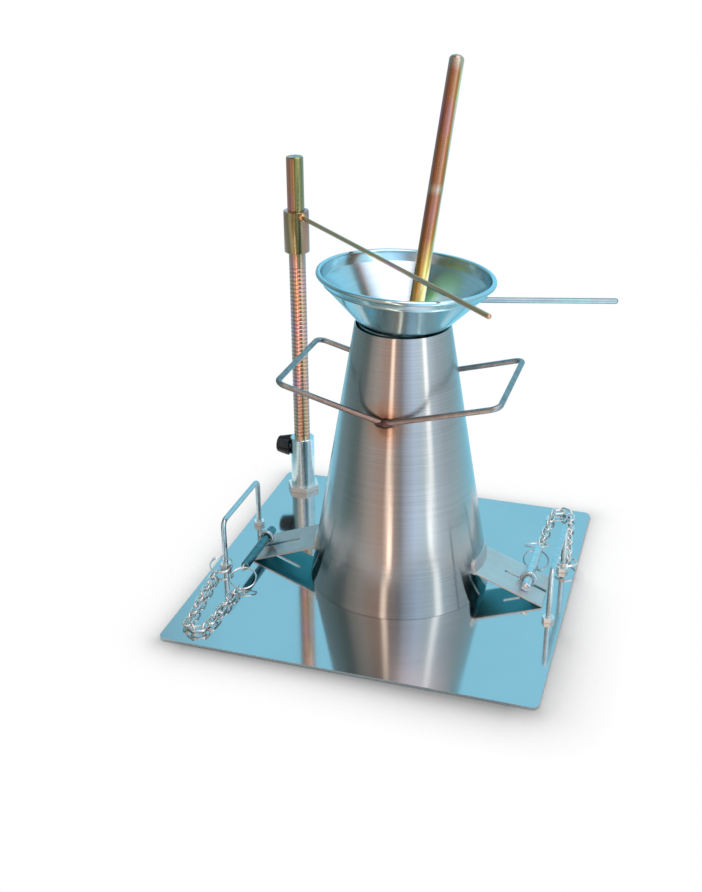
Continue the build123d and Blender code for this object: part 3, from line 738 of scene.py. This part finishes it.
def path_mesh(points, closed):
    """A bare line through points, as a mesh of edges."""
    count = len(points)
    edges = [(number, number + 1) for number in range(count - 1)]
    if closed:
        edges.append((count - 1, 0))
    mesh = bpy.data.meshes.new("path")
    mesh.from_pydata([tuple(point) for point in points], edges, [])
    return mesh


# Geometry trees


def swept_wire(tree, start, curve, bend_steps, bend_radius, capped):
    """Round wire along a curve, with bends at the curve's corners."""
    bent = add_node(tree, "GeometryNodeFilletCurve", {
        "Curve": curve,
        "Count": bend_steps,
        "Radius": bend_radius,
        "Limit Radius": True,
    }, mode="POLY")
    section = add_node(tree, "GeometryNodeCurvePrimitiveCircle", {
        "Resolution": start.outputs["Sides"],
        "Radius": start.outputs["Wire Radius"],
    })
    wire = add_node(tree, "GeometryNodeCurveToMesh", {
        "Curve": bent.outputs[0],
        "Profile Curve": section.outputs["Curve"],
        "Fill Caps": capped,
    })
    return wire.outputs[0]


def copies_on(tree, points, piece, rotation=None):
    """A copy of a piece on each point, as one plain mesh."""
    sockets = {"Points": points, "Instance": piece}
    if rotation is not None:
        sockets["Rotation"] = rotation
    copies = add_node(tree, "GeometryNodeInstanceOnPoints", sockets)
    return add_node(tree, "GeometryNodeRealizeInstances", {"Geometry": copies.outputs[0]}).outputs[0]


def finish_tree(tree, start, end, geometry):
    """Gives the geometry the tree's material, and hands it out."""
    sockets = {"Geometry": geometry, "Material": start.outputs["Material"]}
    coated = add_node(tree, "GeometryNodeSetMaterial", sockets)
    tree.links.new(coated.outputs[0], end.inputs[0])
    return tree


def new_geometry_tree(name, inputs):
    """A geometry tree with its own inputs, and a material: returns it, its input and its output."""
    inputs = [("Geometry", "Geometry", None), *inputs, ("Material", "Material", None)]
    return new_group(name, "GeometryNodeTree", inputs, [("Geometry", "Geometry")])


def make_bent_wire_tree():
    """Round wire along a line of edges."""
    tree, start, end = new_geometry_tree("bent_wire", [
        ("Wire Radius", "Float", 3 * MM),
        ("Bend Radius", "Float", 8 * MM),
        ("Bend Steps", "Int", 10),
        ("Sides", "Int", 24),
    ])
    line = add_node(tree, "GeometryNodeMeshToCurve", {"Mesh": start.outputs["Geometry"]}).outputs[0]
    bend_steps, bend_radius = start.outputs["Bend Steps"], start.outputs["Bend Radius"]
    wire = swept_wire(tree, start, line, bend_steps, bend_radius, capped=True)
    return finish_tree(tree, start, end, wire)


def make_chain_tree():
    """One welded link at each point, turned to the point's own heading and face."""
    tree, start, end = new_geometry_tree("chain_links", [
        ("Link Length", "Float", 15.4 * MM),
        ("Link Width", "Float", 8.8 * MM),
        ("Link Bend", "Float", 4.3 * MM),
        ("Wire Radius", "Float", 1.2 * MM),
        ("Sides", "Int", 12),
    ])
    outline = add_node(tree, "GeometryNodeCurvePrimitiveQuadrilateral", {
        "Width": start.outputs["Link Length"],
        "Height": start.outputs["Link Width"],
    })
    bend_steps = 7
    link = swept_wire(tree, start, outline.outputs[0], bend_steps, start.outputs["Link Bend"], capped=False)
    kind = "GeometryNodeInputNamedAttribute"
    heading, facing = [
        add_node(tree, kind, {"Name": name}, data_type="FLOAT_VECTOR").outputs[0]
        for name in ("heading", "facing")
    ]
    along = add_node(tree, "FunctionNodeAlignRotationToVector", {"Vector": heading}, axis="X")
    turned = add_node(tree, "FunctionNodeAlignRotationToVector", {
        "Rotation": along.outputs[0],
        "Vector": facing,
    }, axis="Z", pivot_axis="X")
    links = copies_on(tree, start.outputs["Geometry"], link, turned.outputs[0])
    return finish_tree(tree, start, end, links)


def make_graduation_tree():
    """A run of rod cut with rings: one short grooved length, repeated."""
    tree, start, end = new_geometry_tree("graduations", [("Count", "Int", 45), ("Pitch", "Float", 5 * MM)])
    marks = add_node(tree, "GeometryNodeMeshLine", {
        "Count": start.outputs["Count"],
        "Offset": join(tree, z=start.outputs["Pitch"]),
    })
    lengths = copies_on(tree, marks.outputs[0], start.outputs["Geometry"])
    rod = add_node(tree, "GeometryNodeMergeByDistance", {"Geometry": lengths, "Distance": 0.01 * MM})
    return finish_tree(tree, start, end, rod.outputs[0])


bent_wire = make_bent_wire_tree()
chain_links = make_chain_tree()
graduations = make_graduation_tree()


def wire_piece(name, points, wire_radius, bend_radius, material, closed=False, bend_steps=10, sides=24):
    """A piece of bent wire."""
    inputs = {
        "Wire Radius": wire_radius,
        "Bend Radius": bend_radius,
        "Bend Steps": bend_steps,
        "Sides": sides,
        "Material": material,
    }
    return add_piece(name, grown(bent_wire, path_mesh(points, closed), inputs), material)


# Base plate with its fixed fittings

plate = softened("plate", "base_plate", polished_plate, width=0.4 * MM)
bare_edges(plate, width=3.5 * MM, material=sheared_edge)
fit(plate, "base", "polished_plate", "base_plate")

bail_wire = 3 * MM
bail_bend = 8 * MM
for side in ("left", "right"):
    low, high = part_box("carry_bail_" + side)
    x = (low.x + high.x) / 2
    front = low.y + bail_wire
    back = high.y - bail_wire
    top = high.z - bail_wire
    points = [(x, front, low.z), (x, front, top), (x, back, top), (x, back, low.z)]
    bail = wire_piece("bail_" + side, points, bail_wire, bail_bend, bright_wire)
    fit(bail, "base", "bright_wire", "carry_bail_" + side)

fit(softened("bail_foot_nuts", "bail_nuts", bright_nut, width=0.7 * MM), "base", "bright_nuts", "bail_nuts")
fit(softened("post_foot_nut", "socket_nut", bright_nut, width=1.0 * MM), "base", "bright_nuts", "socket_nut")

eye_wire = 2 * MM
eye_neck = 1.2 * MM
eye_steps = 48
for side in ("left", "right"):
    low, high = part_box("foot_eye_" + side)
    centre = (low + high) / 2
    ring = (high.x - low.x) / 2 - eye_wire
    hub = high.z - eye_wire - ring
    points = [(centre.x, centre.y, low.z)]
    for step in range(eye_steps + 1):
        angle = math.radians(-90 + 360 * step / eye_steps)
        points.append((centre.x + ring * math.cos(angle), centre.y, hub + ring * math.sin(angle)))
    eye = wire_piece("eye_" + side, points, eye_wire, eye_neck, bright_wire, bend_steps=3)
    fit(eye, "base", "bright_wire", "foot_eye_" + side)

# Measuring post

post_tube = softened("post_tube", "post_socket", bright_socket, width=0.3 * MM)
fit(post_tube, "base", "bright_nuts", "post_socket")

mark_pitch = 5 * MM
mark_count = 45
mark_width = 2.3 * MM
mark_depth = 0.5 * MM
mark_start = 76.6 * MM - rod_low.z
mark_end = mark_start + mark_pitch * mark_count
rod_length = rod_high.z - rod_low.z
rod_foot_edge = 0.6 * MM
rod_top_edge = 1 * MM
rod_sides = 72
one_mark = [
    (rod_radius, 0.0),
    (rod_radius, mark_pitch - mark_width),
    (rod_radius - mark_depth, mark_pitch - mark_width * 0.72),
    (rod_radius - mark_depth, mark_pitch - mark_width * 0.28),
    (rod_radius, mark_pitch),
]
below_marks = [
    (0.0, 0.0),
    (rod_radius - rod_foot_edge, 0.0),
    (rod_radius, rod_foot_edge),
    (rod_radius, mark_start),
]
above_marks = [
    (rod_radius, mark_end),
    (rod_radius, rod_length - rod_top_edge),
    (rod_radius - rod_top_edge, rod_length),
    (0.0, rod_length),
]
grooved, below, above = [
    turned_mesh(outline, (0, 0, 0), sides=rod_sides, closed=False)
    for outline in (one_mark, below_marks, above_marks)
]
marked = grown(graduations, grooved, {"Count": mark_count, "Pitch": mark_pitch, "Material": rod_zinc})
marked.transform(Matrix.Translation((0, 0, mark_start)))
rod = bmesh.new()
for mesh in (marked, below, above):
    rod.from_mesh(mesh)
    bpy.data.meshes.remove(mesh)
bmesh.ops.remove_doubles(rod, verts=rod.verts, dist=0.01 * MM)
bmesh.ops.recalc_face_normals(rod, faces=rod.faces)
local = rod.verts.layers.float_vector["turned"]
rod_foot = on_axis("graduated_rod", rod_low.z)
for corner in rod.verts:
    corner[local] = corner.co
    corner.co += rod_foot
marked_rod = add_piece("marked_rod", mesh_of(rod, "rod"), rod_zinc, sharp=25.0)
fit(marked_rod, "post", "yellow_zinc", "graduated_rod")

sleeve_low, sleeve_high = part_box("slide_sleeve")
sleeve_radius = (sleeve_high.x - sleeve_low.x) / 2
sleeve_length = sleeve_high.z - sleeve_low.z
slide_gap = 0.08 * MM
bore = rod_radius + slide_gap
bore_edge = 0.4 * MM
sleeve_edge = 1.2 * MM
outline = rounded(
    [(bore, 0), (sleeve_radius, 0), (sleeve_radius, sleeve_length), (bore, sleeve_length)],
    [bore_edge, sleeve_edge, sleeve_edge, bore_edge],
)
sleeve = add_piece("sleeve", turned_mesh(outline, on_axis("slide_sleeve", sleeve_low.z)), sleeve_zinc)
fit(sleeve, "pointer", "yellow_zinc", "slide_sleeve")

arm_bearing = math.radians(-45.0)
arm_heading = Vector((math.cos(arm_bearing), math.sin(arm_bearing), 0))
arm_radius = 2.5 * MM
arm_reach = 408 * MM
arm_tip_round = 1.6 * MM
arm_start = sleeve_radius - 0.3 * MM
arm_axis = on_axis("slide_sleeve", middle("pointer_arm").z)
arm_root = arm_axis + arm_heading * arm_start
arm = bar_mesh(arm_radius, arm_reach - arm_start, (0, arm_tip_round), arm_root, arm_heading, sides=32)
fit(add_piece("pointer", arm, arm_zinc), "pointer", "yellow_zinc", "pointer_arm")

braze_length = 8.5 * MM
braze_radius = 4.8 * MM
braze_centre = arm_axis + arm_heading * (sleeve_radius + 1.4 * MM)
braze = bead_mesh(braze_centre, arm_heading, braze_length, braze_radius, ripples=1.5, seed=0.4)
fit(add_piece("pointer_braze", braze, braze_metal), "pointer", "yellow_zinc")

knob = softened("knob", "clamp_knob", black_knob, width=0.8 * MM, segments=3)
fit(knob, "clamp", "black_knob", "clamp_knob")
screw_low, screw_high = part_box("clamp_screw")
screw_root = Vector((screw_high.x, middle("clamp_screw").y, middle("clamp_screw").z))
screw_radius = (screw_high.z - screw_low.z) / 2
screw_length = screw_high.x - screw_low.x
screw_rounds = (0.8 * MM, 0.4 * MM)
screw = bar_mesh(screw_radius, screw_length, screw_rounds, screw_root, (-1, 0, 0), sides=32, steps=3)
fit(add_piece("screw", screw, bright_socket), "clamp", "bright_nuts", "clamp_screw")

# Cone with its handles and lugs

cone_height = cone_high.z - cone_low.z
cone_edge = 0.35 * MM
outline = rounded([
    (cone_base_radius - cone_wall, 0),
    (cone_base_radius, 0),
    (cone_top_radius, cone_height),
    (cone_top_radius - cone_wall, cone_height),
], [cone_edge] * 4, 3)
shell = turned_mesh(outline, on_axis("cone_shell", cone_low.z), sides=192)
fit(add_piece("cone", shell, brushed_cone), "cone", "brushed_cone", "cone_shell")

handle_wire = 3 * MM
handle_bend = 10 * MM
handle_gap = 1.0 * MM
handle_low, handle_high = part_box("cone_handle_right")
handle_x = handle_high.x - handle_wire - cone_axis.x
handle_y = (handle_high.y - handle_low.y) / 2 - handle_wire
handle_z = handle_high.z - handle_wire
for side, sign in (("right", 1), ("left", -1)):
    points = [
        (cone_axis.x + sign * handle_gap, cone_axis.y - sign * handle_y, weld_height),
        (cone_axis.x + sign * handle_x, cone_axis.y - sign * handle_y, handle_z),
        (cone_axis.x + sign * handle_x, cone_axis.y + sign * handle_y, handle_z),
        (cone_axis.x + sign * handle_gap, cone_axis.y + sign * handle_y, weld_height),
    ]
    handle = wire_piece("handle_" + side, points, handle_wire, handle_bend, handle_steel)
    fit(handle, "cone", "handle_wire", "cone_handle_" + side)

bead_length = 22.0 * MM
bead_radius = 4.7 * MM
bead_depth = 3.2 * MM
bead_sag = 0.4 * MM
for side, y, inward in (("front", weld_low.y, 1), ("back", weld_high.y, -1)):
    centre = (cone_axis.x, y + inward * bead_depth, weld_height - bead_sag)
    bead = bead_mesh(centre, (1, 0, 0), bead_length, bead_radius, ripples=2.5, seed=0.9)
    fit(add_piece("weld_" + side, bead, weld_metal), "cone", "handle_wire", "handle_welds")

for side in ("left", "right"):
    lug = softened("lug_" + side, "foot_lug_" + side, lug_sheet, width=0.35 * MM)
    bare_edges(lug, width=2.5 * MM, material=lug_edge)
    fit(lug, "cone", "brushed_cone", "foot_lug_" + side)

# Filling funnel, which leans towards its handle on the cone's edge

funnel_bearing = math.radians(24.5)
funnel_tilt = math.radians(3.2)
seat_radius = 48.6 * MM
spout_radius = 47 * MM
spout_drop = 26 * MM
crease_radius = 85 * MM
flare_height = 38 * MM
lip_radius = 2.7 * MM
lip_reach = 89.8 * MM
lip_height = 47.3 * MM
lip_start = -120
lip_sweep = 290
lip_steps = 16
funnel_wall = 1.2 * MM
grip_side = Vector((math.cos(funnel_bearing), math.sin(funnel_bearing), 0))
funnel_out = grip_side * math.cos(funnel_tilt) - Vector((0, 0, math.sin(funnel_tilt)))
funnel_up = grip_side * math.sin(funnel_tilt) + Vector((0, 0, math.cos(funnel_tilt)))
funnel_centre = on_axis("cone_shell", cone_high.z) + (grip_side - funnel_out) * seat_radius
flare_slope = (crease_radius - seat_radius) / flare_height
spout_top = (spout_radius - seat_radius) / flare_slope
outer = rounded([
    (spout_radius, -spout_drop),
    (spout_radius, spout_top),
    (crease_radius - 1.0 * MM, flare_height - 1.0 * MM),
    (crease_radius + 0.2 * MM, flare_height - 0.6 * MM),
    (crease_radius + 0.3 * MM, flare_height + 0.8 * MM),
    (crease_radius, flare_height + 1.4 * MM),
    (lip_reach - 1.6 * MM, lip_height - 2.0 * MM),
], [0, 1.5 * MM, 0.3 * MM, 0.5 * MM, 0.5 * MM, 0.3 * MM, 0])
lip = []
for step in range(lip_steps + 1):
    angle = math.radians(lip_start + lip_sweep * step / lip_steps)
    lip.append((lip_reach + lip_radius * math.cos(angle), lip_height + lip_radius * math.sin(angle)))
inner = rounded([
    (lip_reach - 2.6 * MM, lip_height - 0.6 * MM),
    (crease_radius - funnel_wall, flare_height + 0.3 * MM),
    (spout_radius - funnel_wall, spout_top - 0.5 * MM),
    (spout_radius - funnel_wall, -spout_drop),
], [0, 0.8 * MM, 1.5 * MM, 0])
funnel_mesh = turned_mesh(outer + lip + inner, funnel_centre, funnel_up, sides=192)
funnel = add_piece("funnel", funnel_mesh, spun_funnel, sharp=50.0)
fit(funnel, "funnel", "spun_funnel", "funnel_spout", "funnel_flare", "funnel_rim")

grip_radius = 3 * MM
grip_rise = 22.2 * MM
grip_reach = 228 * MM
grip_tip_round = 2.4 * MM
grip_start = seat_radius + grip_rise * flare_slope - 0.4 * MM
grip_root = funnel_centre + funnel_up * grip_rise + funnel_out * grip_start
grip = bar_mesh(grip_radius, grip_reach - grip_start, (0, grip_tip_round), grip_root, funnel_out, sides=40)
for corner in grip.vertices:
    step = corner.co - grip_root
    if step.dot(funnel_out) < 0.1 * MM:
        corner.co += funnel_out * step.dot(funnel_up) * flare_slope
fit(add_piece("funnel_grip", grip, grip_wire), "funnel", "spun_funnel", "funnel_handle")
tack_length = 7 * MM
tack_radius = 4.2 * MM
tack_place = grip_root + funnel_out * 4.8 * MM
grip_weld = bead_mesh(tack_place, funnel_out, tack_length, tack_radius, ripples=1.5, seed=2.1)
fit(add_piece("funnel_grip_weld", grip_weld, weld_metal), "funnel", "spun_funnel")

# Tamping rod, which stands on its round foot inside the cone

tamping_heading = joint_axis("tamper_lift")
foot_ball = Vector((-4.5, -84.5, 11.1)) * MM
tamping_rounds = (tamping_radius, 5 * MM)
tamping_foot = foot_ball - tamping_heading * tamping_radius
tamping = bar_mesh(
    tamping_radius, tamping_length, tamping_rounds, tamping_foot, tamping_heading, sides=64, steps=12,
)
fit(add_piece("tamping_bar", tamping, tamping_zinc), "tamper", "yellow_zinc", "tamping_rod")

# Pins, rings and chains


def loose_parts(node):
    """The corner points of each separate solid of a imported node."""
    shape = packed_shape(node)
    shape.verts.ensure_lookup_table()
    seen = set()
    parts = []
    for first in shape.verts:
        if first.index in seen:
            continue
        seen.add(first.index)
        waiting = [first]
        part = []
        while waiting:
            corner = waiting.pop()
            part.append(corner.co.copy())
            for edge in corner.link_edges:
                other = edge.other_vert(corner)
                if other.index not in seen:
                    seen.add(other.index)
                    waiting.append(other)
        parts.append(part)
    shape.free()
    return parts


def flat_lie(points):
    """The centre of a flat solid's corners, and the normal of the flat it lies in."""
    centre = sum(points, Vector()) / len(points)
    normal = Vector()
    for one in points:
        for other in points:
            cross = (one - centre).cross(other - centre)
            normal += cross if cross.dot(normal) >= 0 else -cross
    return centre, normal.normalized()


def ring_lie(node):
    """Centre, axis and outer radius of a packed ring."""
    points = loose_parts(node)[0]
    centre, normal = flat_lie(points)
    return centre, normal, max((p - centre).length for p in points)


def link_lie(points):
    """A link's centre, its heading along its length and the normal of its flat."""
    centre, normal = flat_lie(points)
    longest = max((p - centre).length for p in points)
    heading = Vector()
    for p in points:
        step = p - centre
        if step.length > 0.9 * longest:
            step -= normal * step.dot(normal)
            heading += step if step.dot(heading) >= 0 else -step
    return centre, heading.normalized(), normal


def coil_points(centre, normal, radius, turns, rise, start, steps):
    """Points round a flat coil. One turn with no rise is a ring, whose last point is its first again."""
    side = Vector((0, 0, 1)).cross(normal).normalized()
    other = normal.cross(side)
    points = []
    for step in range(round(turns * steps) + 1):
        angle = start + 2 * math.pi * step / steps
        lift = normal * rise * (step / steps - turns / 2)
        points.append(centre + (side * math.cos(angle) + other * math.sin(angle)) * radius + lift)
    return points


def ring_piece(name, centre, normal, radius, wire, steps, sides):
    """A closed ring of bright wire."""
    points = coil_points(centre, normal, radius, turns=1, rise=0, start=0, steps=steps)[:-1]
    return wire_piece(name, points, wire, 0, chain_zinc, closed=True, bend_steps=1, sides=sides)


def chain_piece(name, links):
    """Links at their packed places, as one piece."""
    mesh = bpy.data.meshes.new("places")
    mesh.from_pydata([tuple(centre) for centre, heading, normal in links], [], [])
    for title, part in (("heading", 1), ("facing", 2)):
        layer = mesh.attributes.new(title, "FLOAT_VECTOR", "POINT")
        layer.data.foreach_set("vector", [value for link in links for value in link[part]])
    return add_piece(name, grown(chain_links, mesh, {"Material": chain_zinc}), chain_zinc, sharp=80.0)


pin_radius = 5 * MM
pin_length = 88 * MM
pin_rounds = (1.6 * MM, 2.0 * MM)
eyelet_gap = 2.6 * MM
eyelet_radius = 3.6 * MM
eyelet_wire = 1.0 * MM
packed_ring_wire = 1 * MM
pin_ring_wire = 0.95 * MM
tether_wire = 0.7 * MM
tether_turns = 2.15
tether_rise = 1.2 * MM
tether_start = 0.6
# The left pin takes the copy with painted shade, the right pin the copy with painted light.
for side, way, pin_painted_tone in (("left", 1, pin_painted_shade), ("right", -1, pin_painted_light)):
    body = "pin_" + side
    low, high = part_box("locking_pin_" + side)
    centre = (low + high) / 2
    free_end = Vector((centre.x, high.y if way == 1 else low.y, centre.z))
    heading = Vector((0, -way, 0))
    across = Vector((1, 0, 0))
    shank = bar_mesh(pin_radius, pin_length, pin_rounds, free_end, heading, sides=40, steps=5)
    fit(add_piece(body + "_shank", shank, pin_painted_tone), body, "bright_wire", "locking_pin_" + side)
    eyelet = free_end + heading * (pin_length + eyelet_gap)
    loop = ring_piece(body + "_eyelet", eyelet, across, eyelet_radius, eyelet_wire, steps=28, sides=14)
    fit(loop, body, "bright_wire")
    centre, normal, outer = ring_lie("pin_ring_" + side)
    ring_radius = outer - packed_ring_wire
    ring = ring_piece(body + "_ring", centre, normal, ring_radius, pin_ring_wire, steps=56, sides=12)
    fit(ring, body, "bright_wire", "pin_ring_" + side)
    centre, normal, outer = ring_lie("tether_ring_" + side)
    ring_radius = outer - packed_ring_wire
    points = coil_points(centre, normal, ring_radius, tether_turns, tether_rise, tether_start, steps=44)
    coil = wire_piece("tether_" + side, points, tether_wire, 0, chain_zinc, bend_steps=1, sides=12)
    fit(coil, "base", "bright_wire", "tether_ring_" + side)

for side, way in (("left", 1), ("right", -1)):
    links = [link_lie(part) for part in loose_parts("chain_" + side)]
    low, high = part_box("chain_" + side)
    bend = (low.x + high.x) / 2
    pin_x = middle("pin_ring_" + side).x
    pin_side = [link for link in links if (link[0].x - bend) * (pin_x - bend) > 0]
    rest_side = [link for link in links if link not in pin_side]
    fixed = chain_piece("chain_" + side + "_fixed", rest_side)
    fit(fixed, "base", "bright_wire", "chain_" + side)
    pulled = chain_piece("chain_" + side + "_pulled", pin_side)
    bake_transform(pulled)
    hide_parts("chain_" + side)

# Floor and room


def background_rays(tree):
    """1 for the rays that show the background, by sight or in metal, and 0 for those that only light."""
    path = add_node(tree, "ShaderNodeLightPath")
    mirrored = math_of(tree, "MAXIMUM", path.outputs["Is Glossy Ray"], path.outputs["Is Transmission Ray"])
    return math_of(tree, "MAXIMUM", path.outputs["Is Camera Ray"], mirrored)


def make_floor_paper():
    """Pale paper that fades out round the plate, with a painted shadow that darkens it along the plate's
    edges, most along the front.
    """
    material, tree, shader = new_material("floor_paper")
    plate_half = plate_high.x
    corner = 6 * MM
    fibre = noise(tree, object_place(tree), 300.0, detail=2.0)
    paper = mix_colour(tree, fibre, (0.78, 0.78, 0.78), (0.80, 0.80, 0.80))
    x, y = split(tree, object_place(tree))[:2]
    across, along = [math_of(tree, "ABSOLUTE", part) for part in (x, y)]
    outside = join(tree, *[
        math_of(tree, "MAXIMUM", math_of(tree, "SUBTRACT", part, plate_half - corner), 0.0)
        for part in (across, along)
    ])
    reach = math_of(tree, "SUBTRACT", length_of(tree, outside), corner)
    # Painted shadow: the paper's colour and glow darken towards the plate's edges, deeper and wider along
    # the front edge.
    painted_shadow_front = times(
        tree,
        remap(tree, y, plate_low.y + 8 * MM, plate_low.y - 4 * MM),
        remap(tree, across, plate_half - 30 * MM, plate_half + 15 * MM, 1.0, 0.0),
    )
    painted_shadow_fall = math_of(tree, "DIVIDE", reach, remap(tree, painted_shadow_front, 0.0, 1.0, -14 * MM, -20 * MM))
    painted_shadow_depth = remap(tree, painted_shadow_front, 0.0, 1.0, 0.32, 0.72)
    painted_shadow_depth = times(tree, math_of(tree, "EXPONENT", painted_shadow_fall), painted_shadow_depth)
    tree.links.new(mix_colour(tree, painted_shadow_depth, paper, BLACK), shader.inputs["Base Color"])
    shader.inputs["Roughness"].default_value = 1.0
    shader.inputs["Specular IOR Level"].default_value = 0.0
    tree.links.new(mix_colour(tree, painted_shadow_depth, WHITE, BLACK), shader.inputs["Emission Color"])
    tree.links.new(times(tree, background_rays(tree), 0.13), shader.inputs["Emission Strength"])
    tree.links.new(remap(tree, reach, 15 * MM, 75 * MM, 1.0, 0.0), shader.inputs["Alpha"])
    return material


def make_white_room():
    """A room that lights the set at a plain level, and is white where it is seen."""
    room = bpy.data.worlds.new("white_room")
    room.use_nodes = True
    tree = room.node_tree
    tree.nodes.clear()
    level = remap(tree, background_rays(tree), 0.0, 1.0, 0.62, 1.0)
    glow = add_node(tree, "ShaderNodeBackground", {"Color": (*WHITE, 1.0), "Strength": level})
    add_node(tree, "ShaderNodeOutputWorld", {"Surface": glow.outputs[0]})
    return room


paper_half = 0.35
paper_corners = [(x * paper_half, y * paper_half, 0) for x, y in ((-1, -1), (1, -1), (1, 1), (-1, 1))]
floor_mesh = bpy.data.meshes.new("floor")
floor_mesh.from_pydata(paper_corners, [], [(0, 1, 2, 3)])
floor_mesh.materials.append(make_floor_paper())
floor = add_object("floor", floor_mesh)
floor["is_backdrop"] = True
scene.world = make_white_room()

# Soft coloured walls round the set, which only the bright metal shows

wall_colours = [
    (-180, (0.177, 0.390, 0.489)),
    (-150, (0.172, 0.380, 0.475)),
    (-140, (0.130, 0.200, 0.225)),
    (-112, (0.130, 0.185, 0.200)),
    (-92, (0.115, 0.160, 0.165)),
    (-74, (0.105, 0.135, 0.135)),
    (-62, (0.130, 0.145, 0.140)),
    (-52, (0.240, 0.225, 0.210)),
    (-35, (0.330, 0.280, 0.255)),
    (-22, (0.340, 0.250, 0.215)),
    (-10, (0.360, 0.250, 0.205)),
    (-6, (1.000, 0.770, 0.630)),
    (-3, (1.000, 0.760, 0.620)),
    (1, (0.330, 0.250, 0.225)),
    (14, (0.230, 0.220, 0.230)),
    (22, (0.330, 0.360, 0.420)),
    (38, (0.450, 0.530, 0.640)),
    (52, (0.460, 0.530, 0.575)),
    (58, (0.520, 0.580, 0.610)),
    (62, (1.000, 1.000, 1.000)),
    (66, (1.000, 1.000, 1.000)),
    (71, (0.460, 0.530, 0.580)),
    (92, (0.330, 0.380, 0.430)),
    (110, (0.280, 0.350, 0.380)),
    (128, (0.260, 0.360, 0.400)),
    (150, (0.210, 0.370, 0.430)),
    (180, (0.177, 0.390, 0.489)),
]
ceiling_colours = [
    (-180, (0.200, 0.400, 0.480)),
    (-125, (0.170, 0.350, 0.430)),
    (-95, (0.090, 0.115, 0.115)),
    (-15, (0.080, 0.085, 0.080)),
    (0, (0.370, 0.290, 0.280)),
    (20, (1.000, 0.720, 0.710)),
    (125, (1.000, 0.730, 0.720)),
    (150, (0.200, 0.400, 0.480)),
]
lamp_bearing = 25.0
streak_bearing = -4


def around(degrees):
    """A bearing, counted from the front towards the right, as a share of a whole turn."""
    return (degrees + 180) / 360


def make_wall_light():
    """Colours that change round the walls and on the ceiling.

    Low on the walls they spread out from the lamp's bearing, and the copper streak is stronger.
    """
    material = bpy.data.materials.new("wall_light")
    material.use_nodes = True
    tree = material.node_tree
    tree.nodes.clear()
    outward = add_node(tree, "ShaderNodeVectorMath", {0: object_place(tree)}, operation="NORMALIZE")
    x, y, z = split(tree, outward.outputs[0])
    turn = times(tree, math_of(tree, "ARCTAN2", x, times(tree, y, -1.0)), 0.5 / math.pi)
    turn = math_of(tree, "SUBTRACT", turn, lamp_bearing / 360)
    spread = remap(tree, z, -0.27, -0.10, 1.25, 1.0)
    turn = plus(tree, times(tree, turn, spread), around(lamp_bearing))
    walls, ceiling = [
        ramp(tree, turn, [(around(bearing), colour) for bearing, colour in colours])
        for colours in (wall_colours, ceiling_colours)
    ]
    low_streaks = remap(tree, z, -0.27, -0.12, 1.3, 1.0)
    high_streaks = remap(tree, z, 0.08, 0.18, 1.0, 1.2)
    streaks = math_of(tree, "MAXIMUM", low_streaks, high_streaks)
    ahead = remap(tree, y, -0.1, -0.3)
    contrast = add_node(tree, "ShaderNodeMix", {0: ahead, 2: 1.0, 3: streaks}).outputs[0]
    walls = add_node(tree, "ShaderNodeGamma", {"Color": walls, "Gamma": contrast}).outputs["Color"]
    low_level = remap(tree, z, -0.20, -0.07, 2.2, 1.65)
    high_level = remap(tree, z, -0.07, 0.10, 0.0, 0.35)
    level = times(tree, plus(tree, low_level, high_level), contrast)
    in_streak = remap(tree, gap(tree, turn, around(streak_bearing)), 4 / 360, 9 / 360, 1.0, 0.0)
    boost = times(tree, in_streak, remap(tree, z, -0.22, -0.12, 0.5, 0.0))
    level = times(tree, level, plus(tree, boost, 1.0))
    colour = mix_colour(tree, remap(tree, z, 0.74, 0.84), walls, ceiling)
    glow = add_node(tree, "ShaderNodeEmission", {"Color": colour, "Strength": level})
    add_node(tree, "ShaderNodeOutputMaterial", {"Surface": glow.outputs[0]})
    return material


wall_radius = 3.0
shape = bmesh.new()
bmesh.ops.create_uvsphere(shape, u_segments=64, v_segments=32, radius=wall_radius)
bmesh.ops.reverse_faces(shape, faces=shape.faces)
walls_mesh = mesh_of(shape, "studio_walls")
walls_mesh.materials.append(make_wall_light())
studio_walls = add_object("studio_walls", walls_mesh)
studio_walls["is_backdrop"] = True
studio_walls.visible_camera = False
studio_walls.visible_diffuse = False
studio_walls.visible_shadow = False

# Soft lamp and camera

key_heading = Vector((0.45, -0.5, -1.0))
key = bpy.data.lights.new("key", "SUN")
key.energy = 1.9
key.angle = math.radians(40)
key_lamp = add_object("key", key)
key_lamp.rotation_euler = key_heading.to_track_quat("-Z", "Y").to_euler()
key_lamp.visible_glossy = False

camera_place = Vector((303.24, -1104.48, 714.54)) * MM
camera_bearing = math.radians(17.70)
camera_height = math.radians(25.80)
camera_roll = math.radians(-0.429)
camera_side = Vector((math.cos(camera_bearing), math.sin(camera_bearing), 0))
camera_ahead = Vector((-math.sin(camera_bearing), math.cos(camera_bearing), 0))
camera_back = Vector((0, 0, math.sin(camera_height))) - camera_ahead * math.cos(camera_height)
camera_up = camera_back.cross(camera_side)
rolled_side = camera_side * math.cos(camera_roll) + camera_up * math.sin(camera_roll)
rolled_up = camera_up * math.cos(camera_roll) - camera_side * math.sin(camera_roll)
camera = bpy.data.cameras.new("camera")
camera.sensor_width = 36.0
camera.lens = 47.10
camera.clip_end = 200.0
camera_object = add_object("camera", camera)
camera_turn = Matrix((rolled_side, rolled_up, camera_back)).transposed().to_4x4()
camera_object.matrix_world = Matrix.Translation(camera_place) @ camera_turn
scene.camera = camera_object

scene.view_settings.view_transform = "Standard"

low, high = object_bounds()
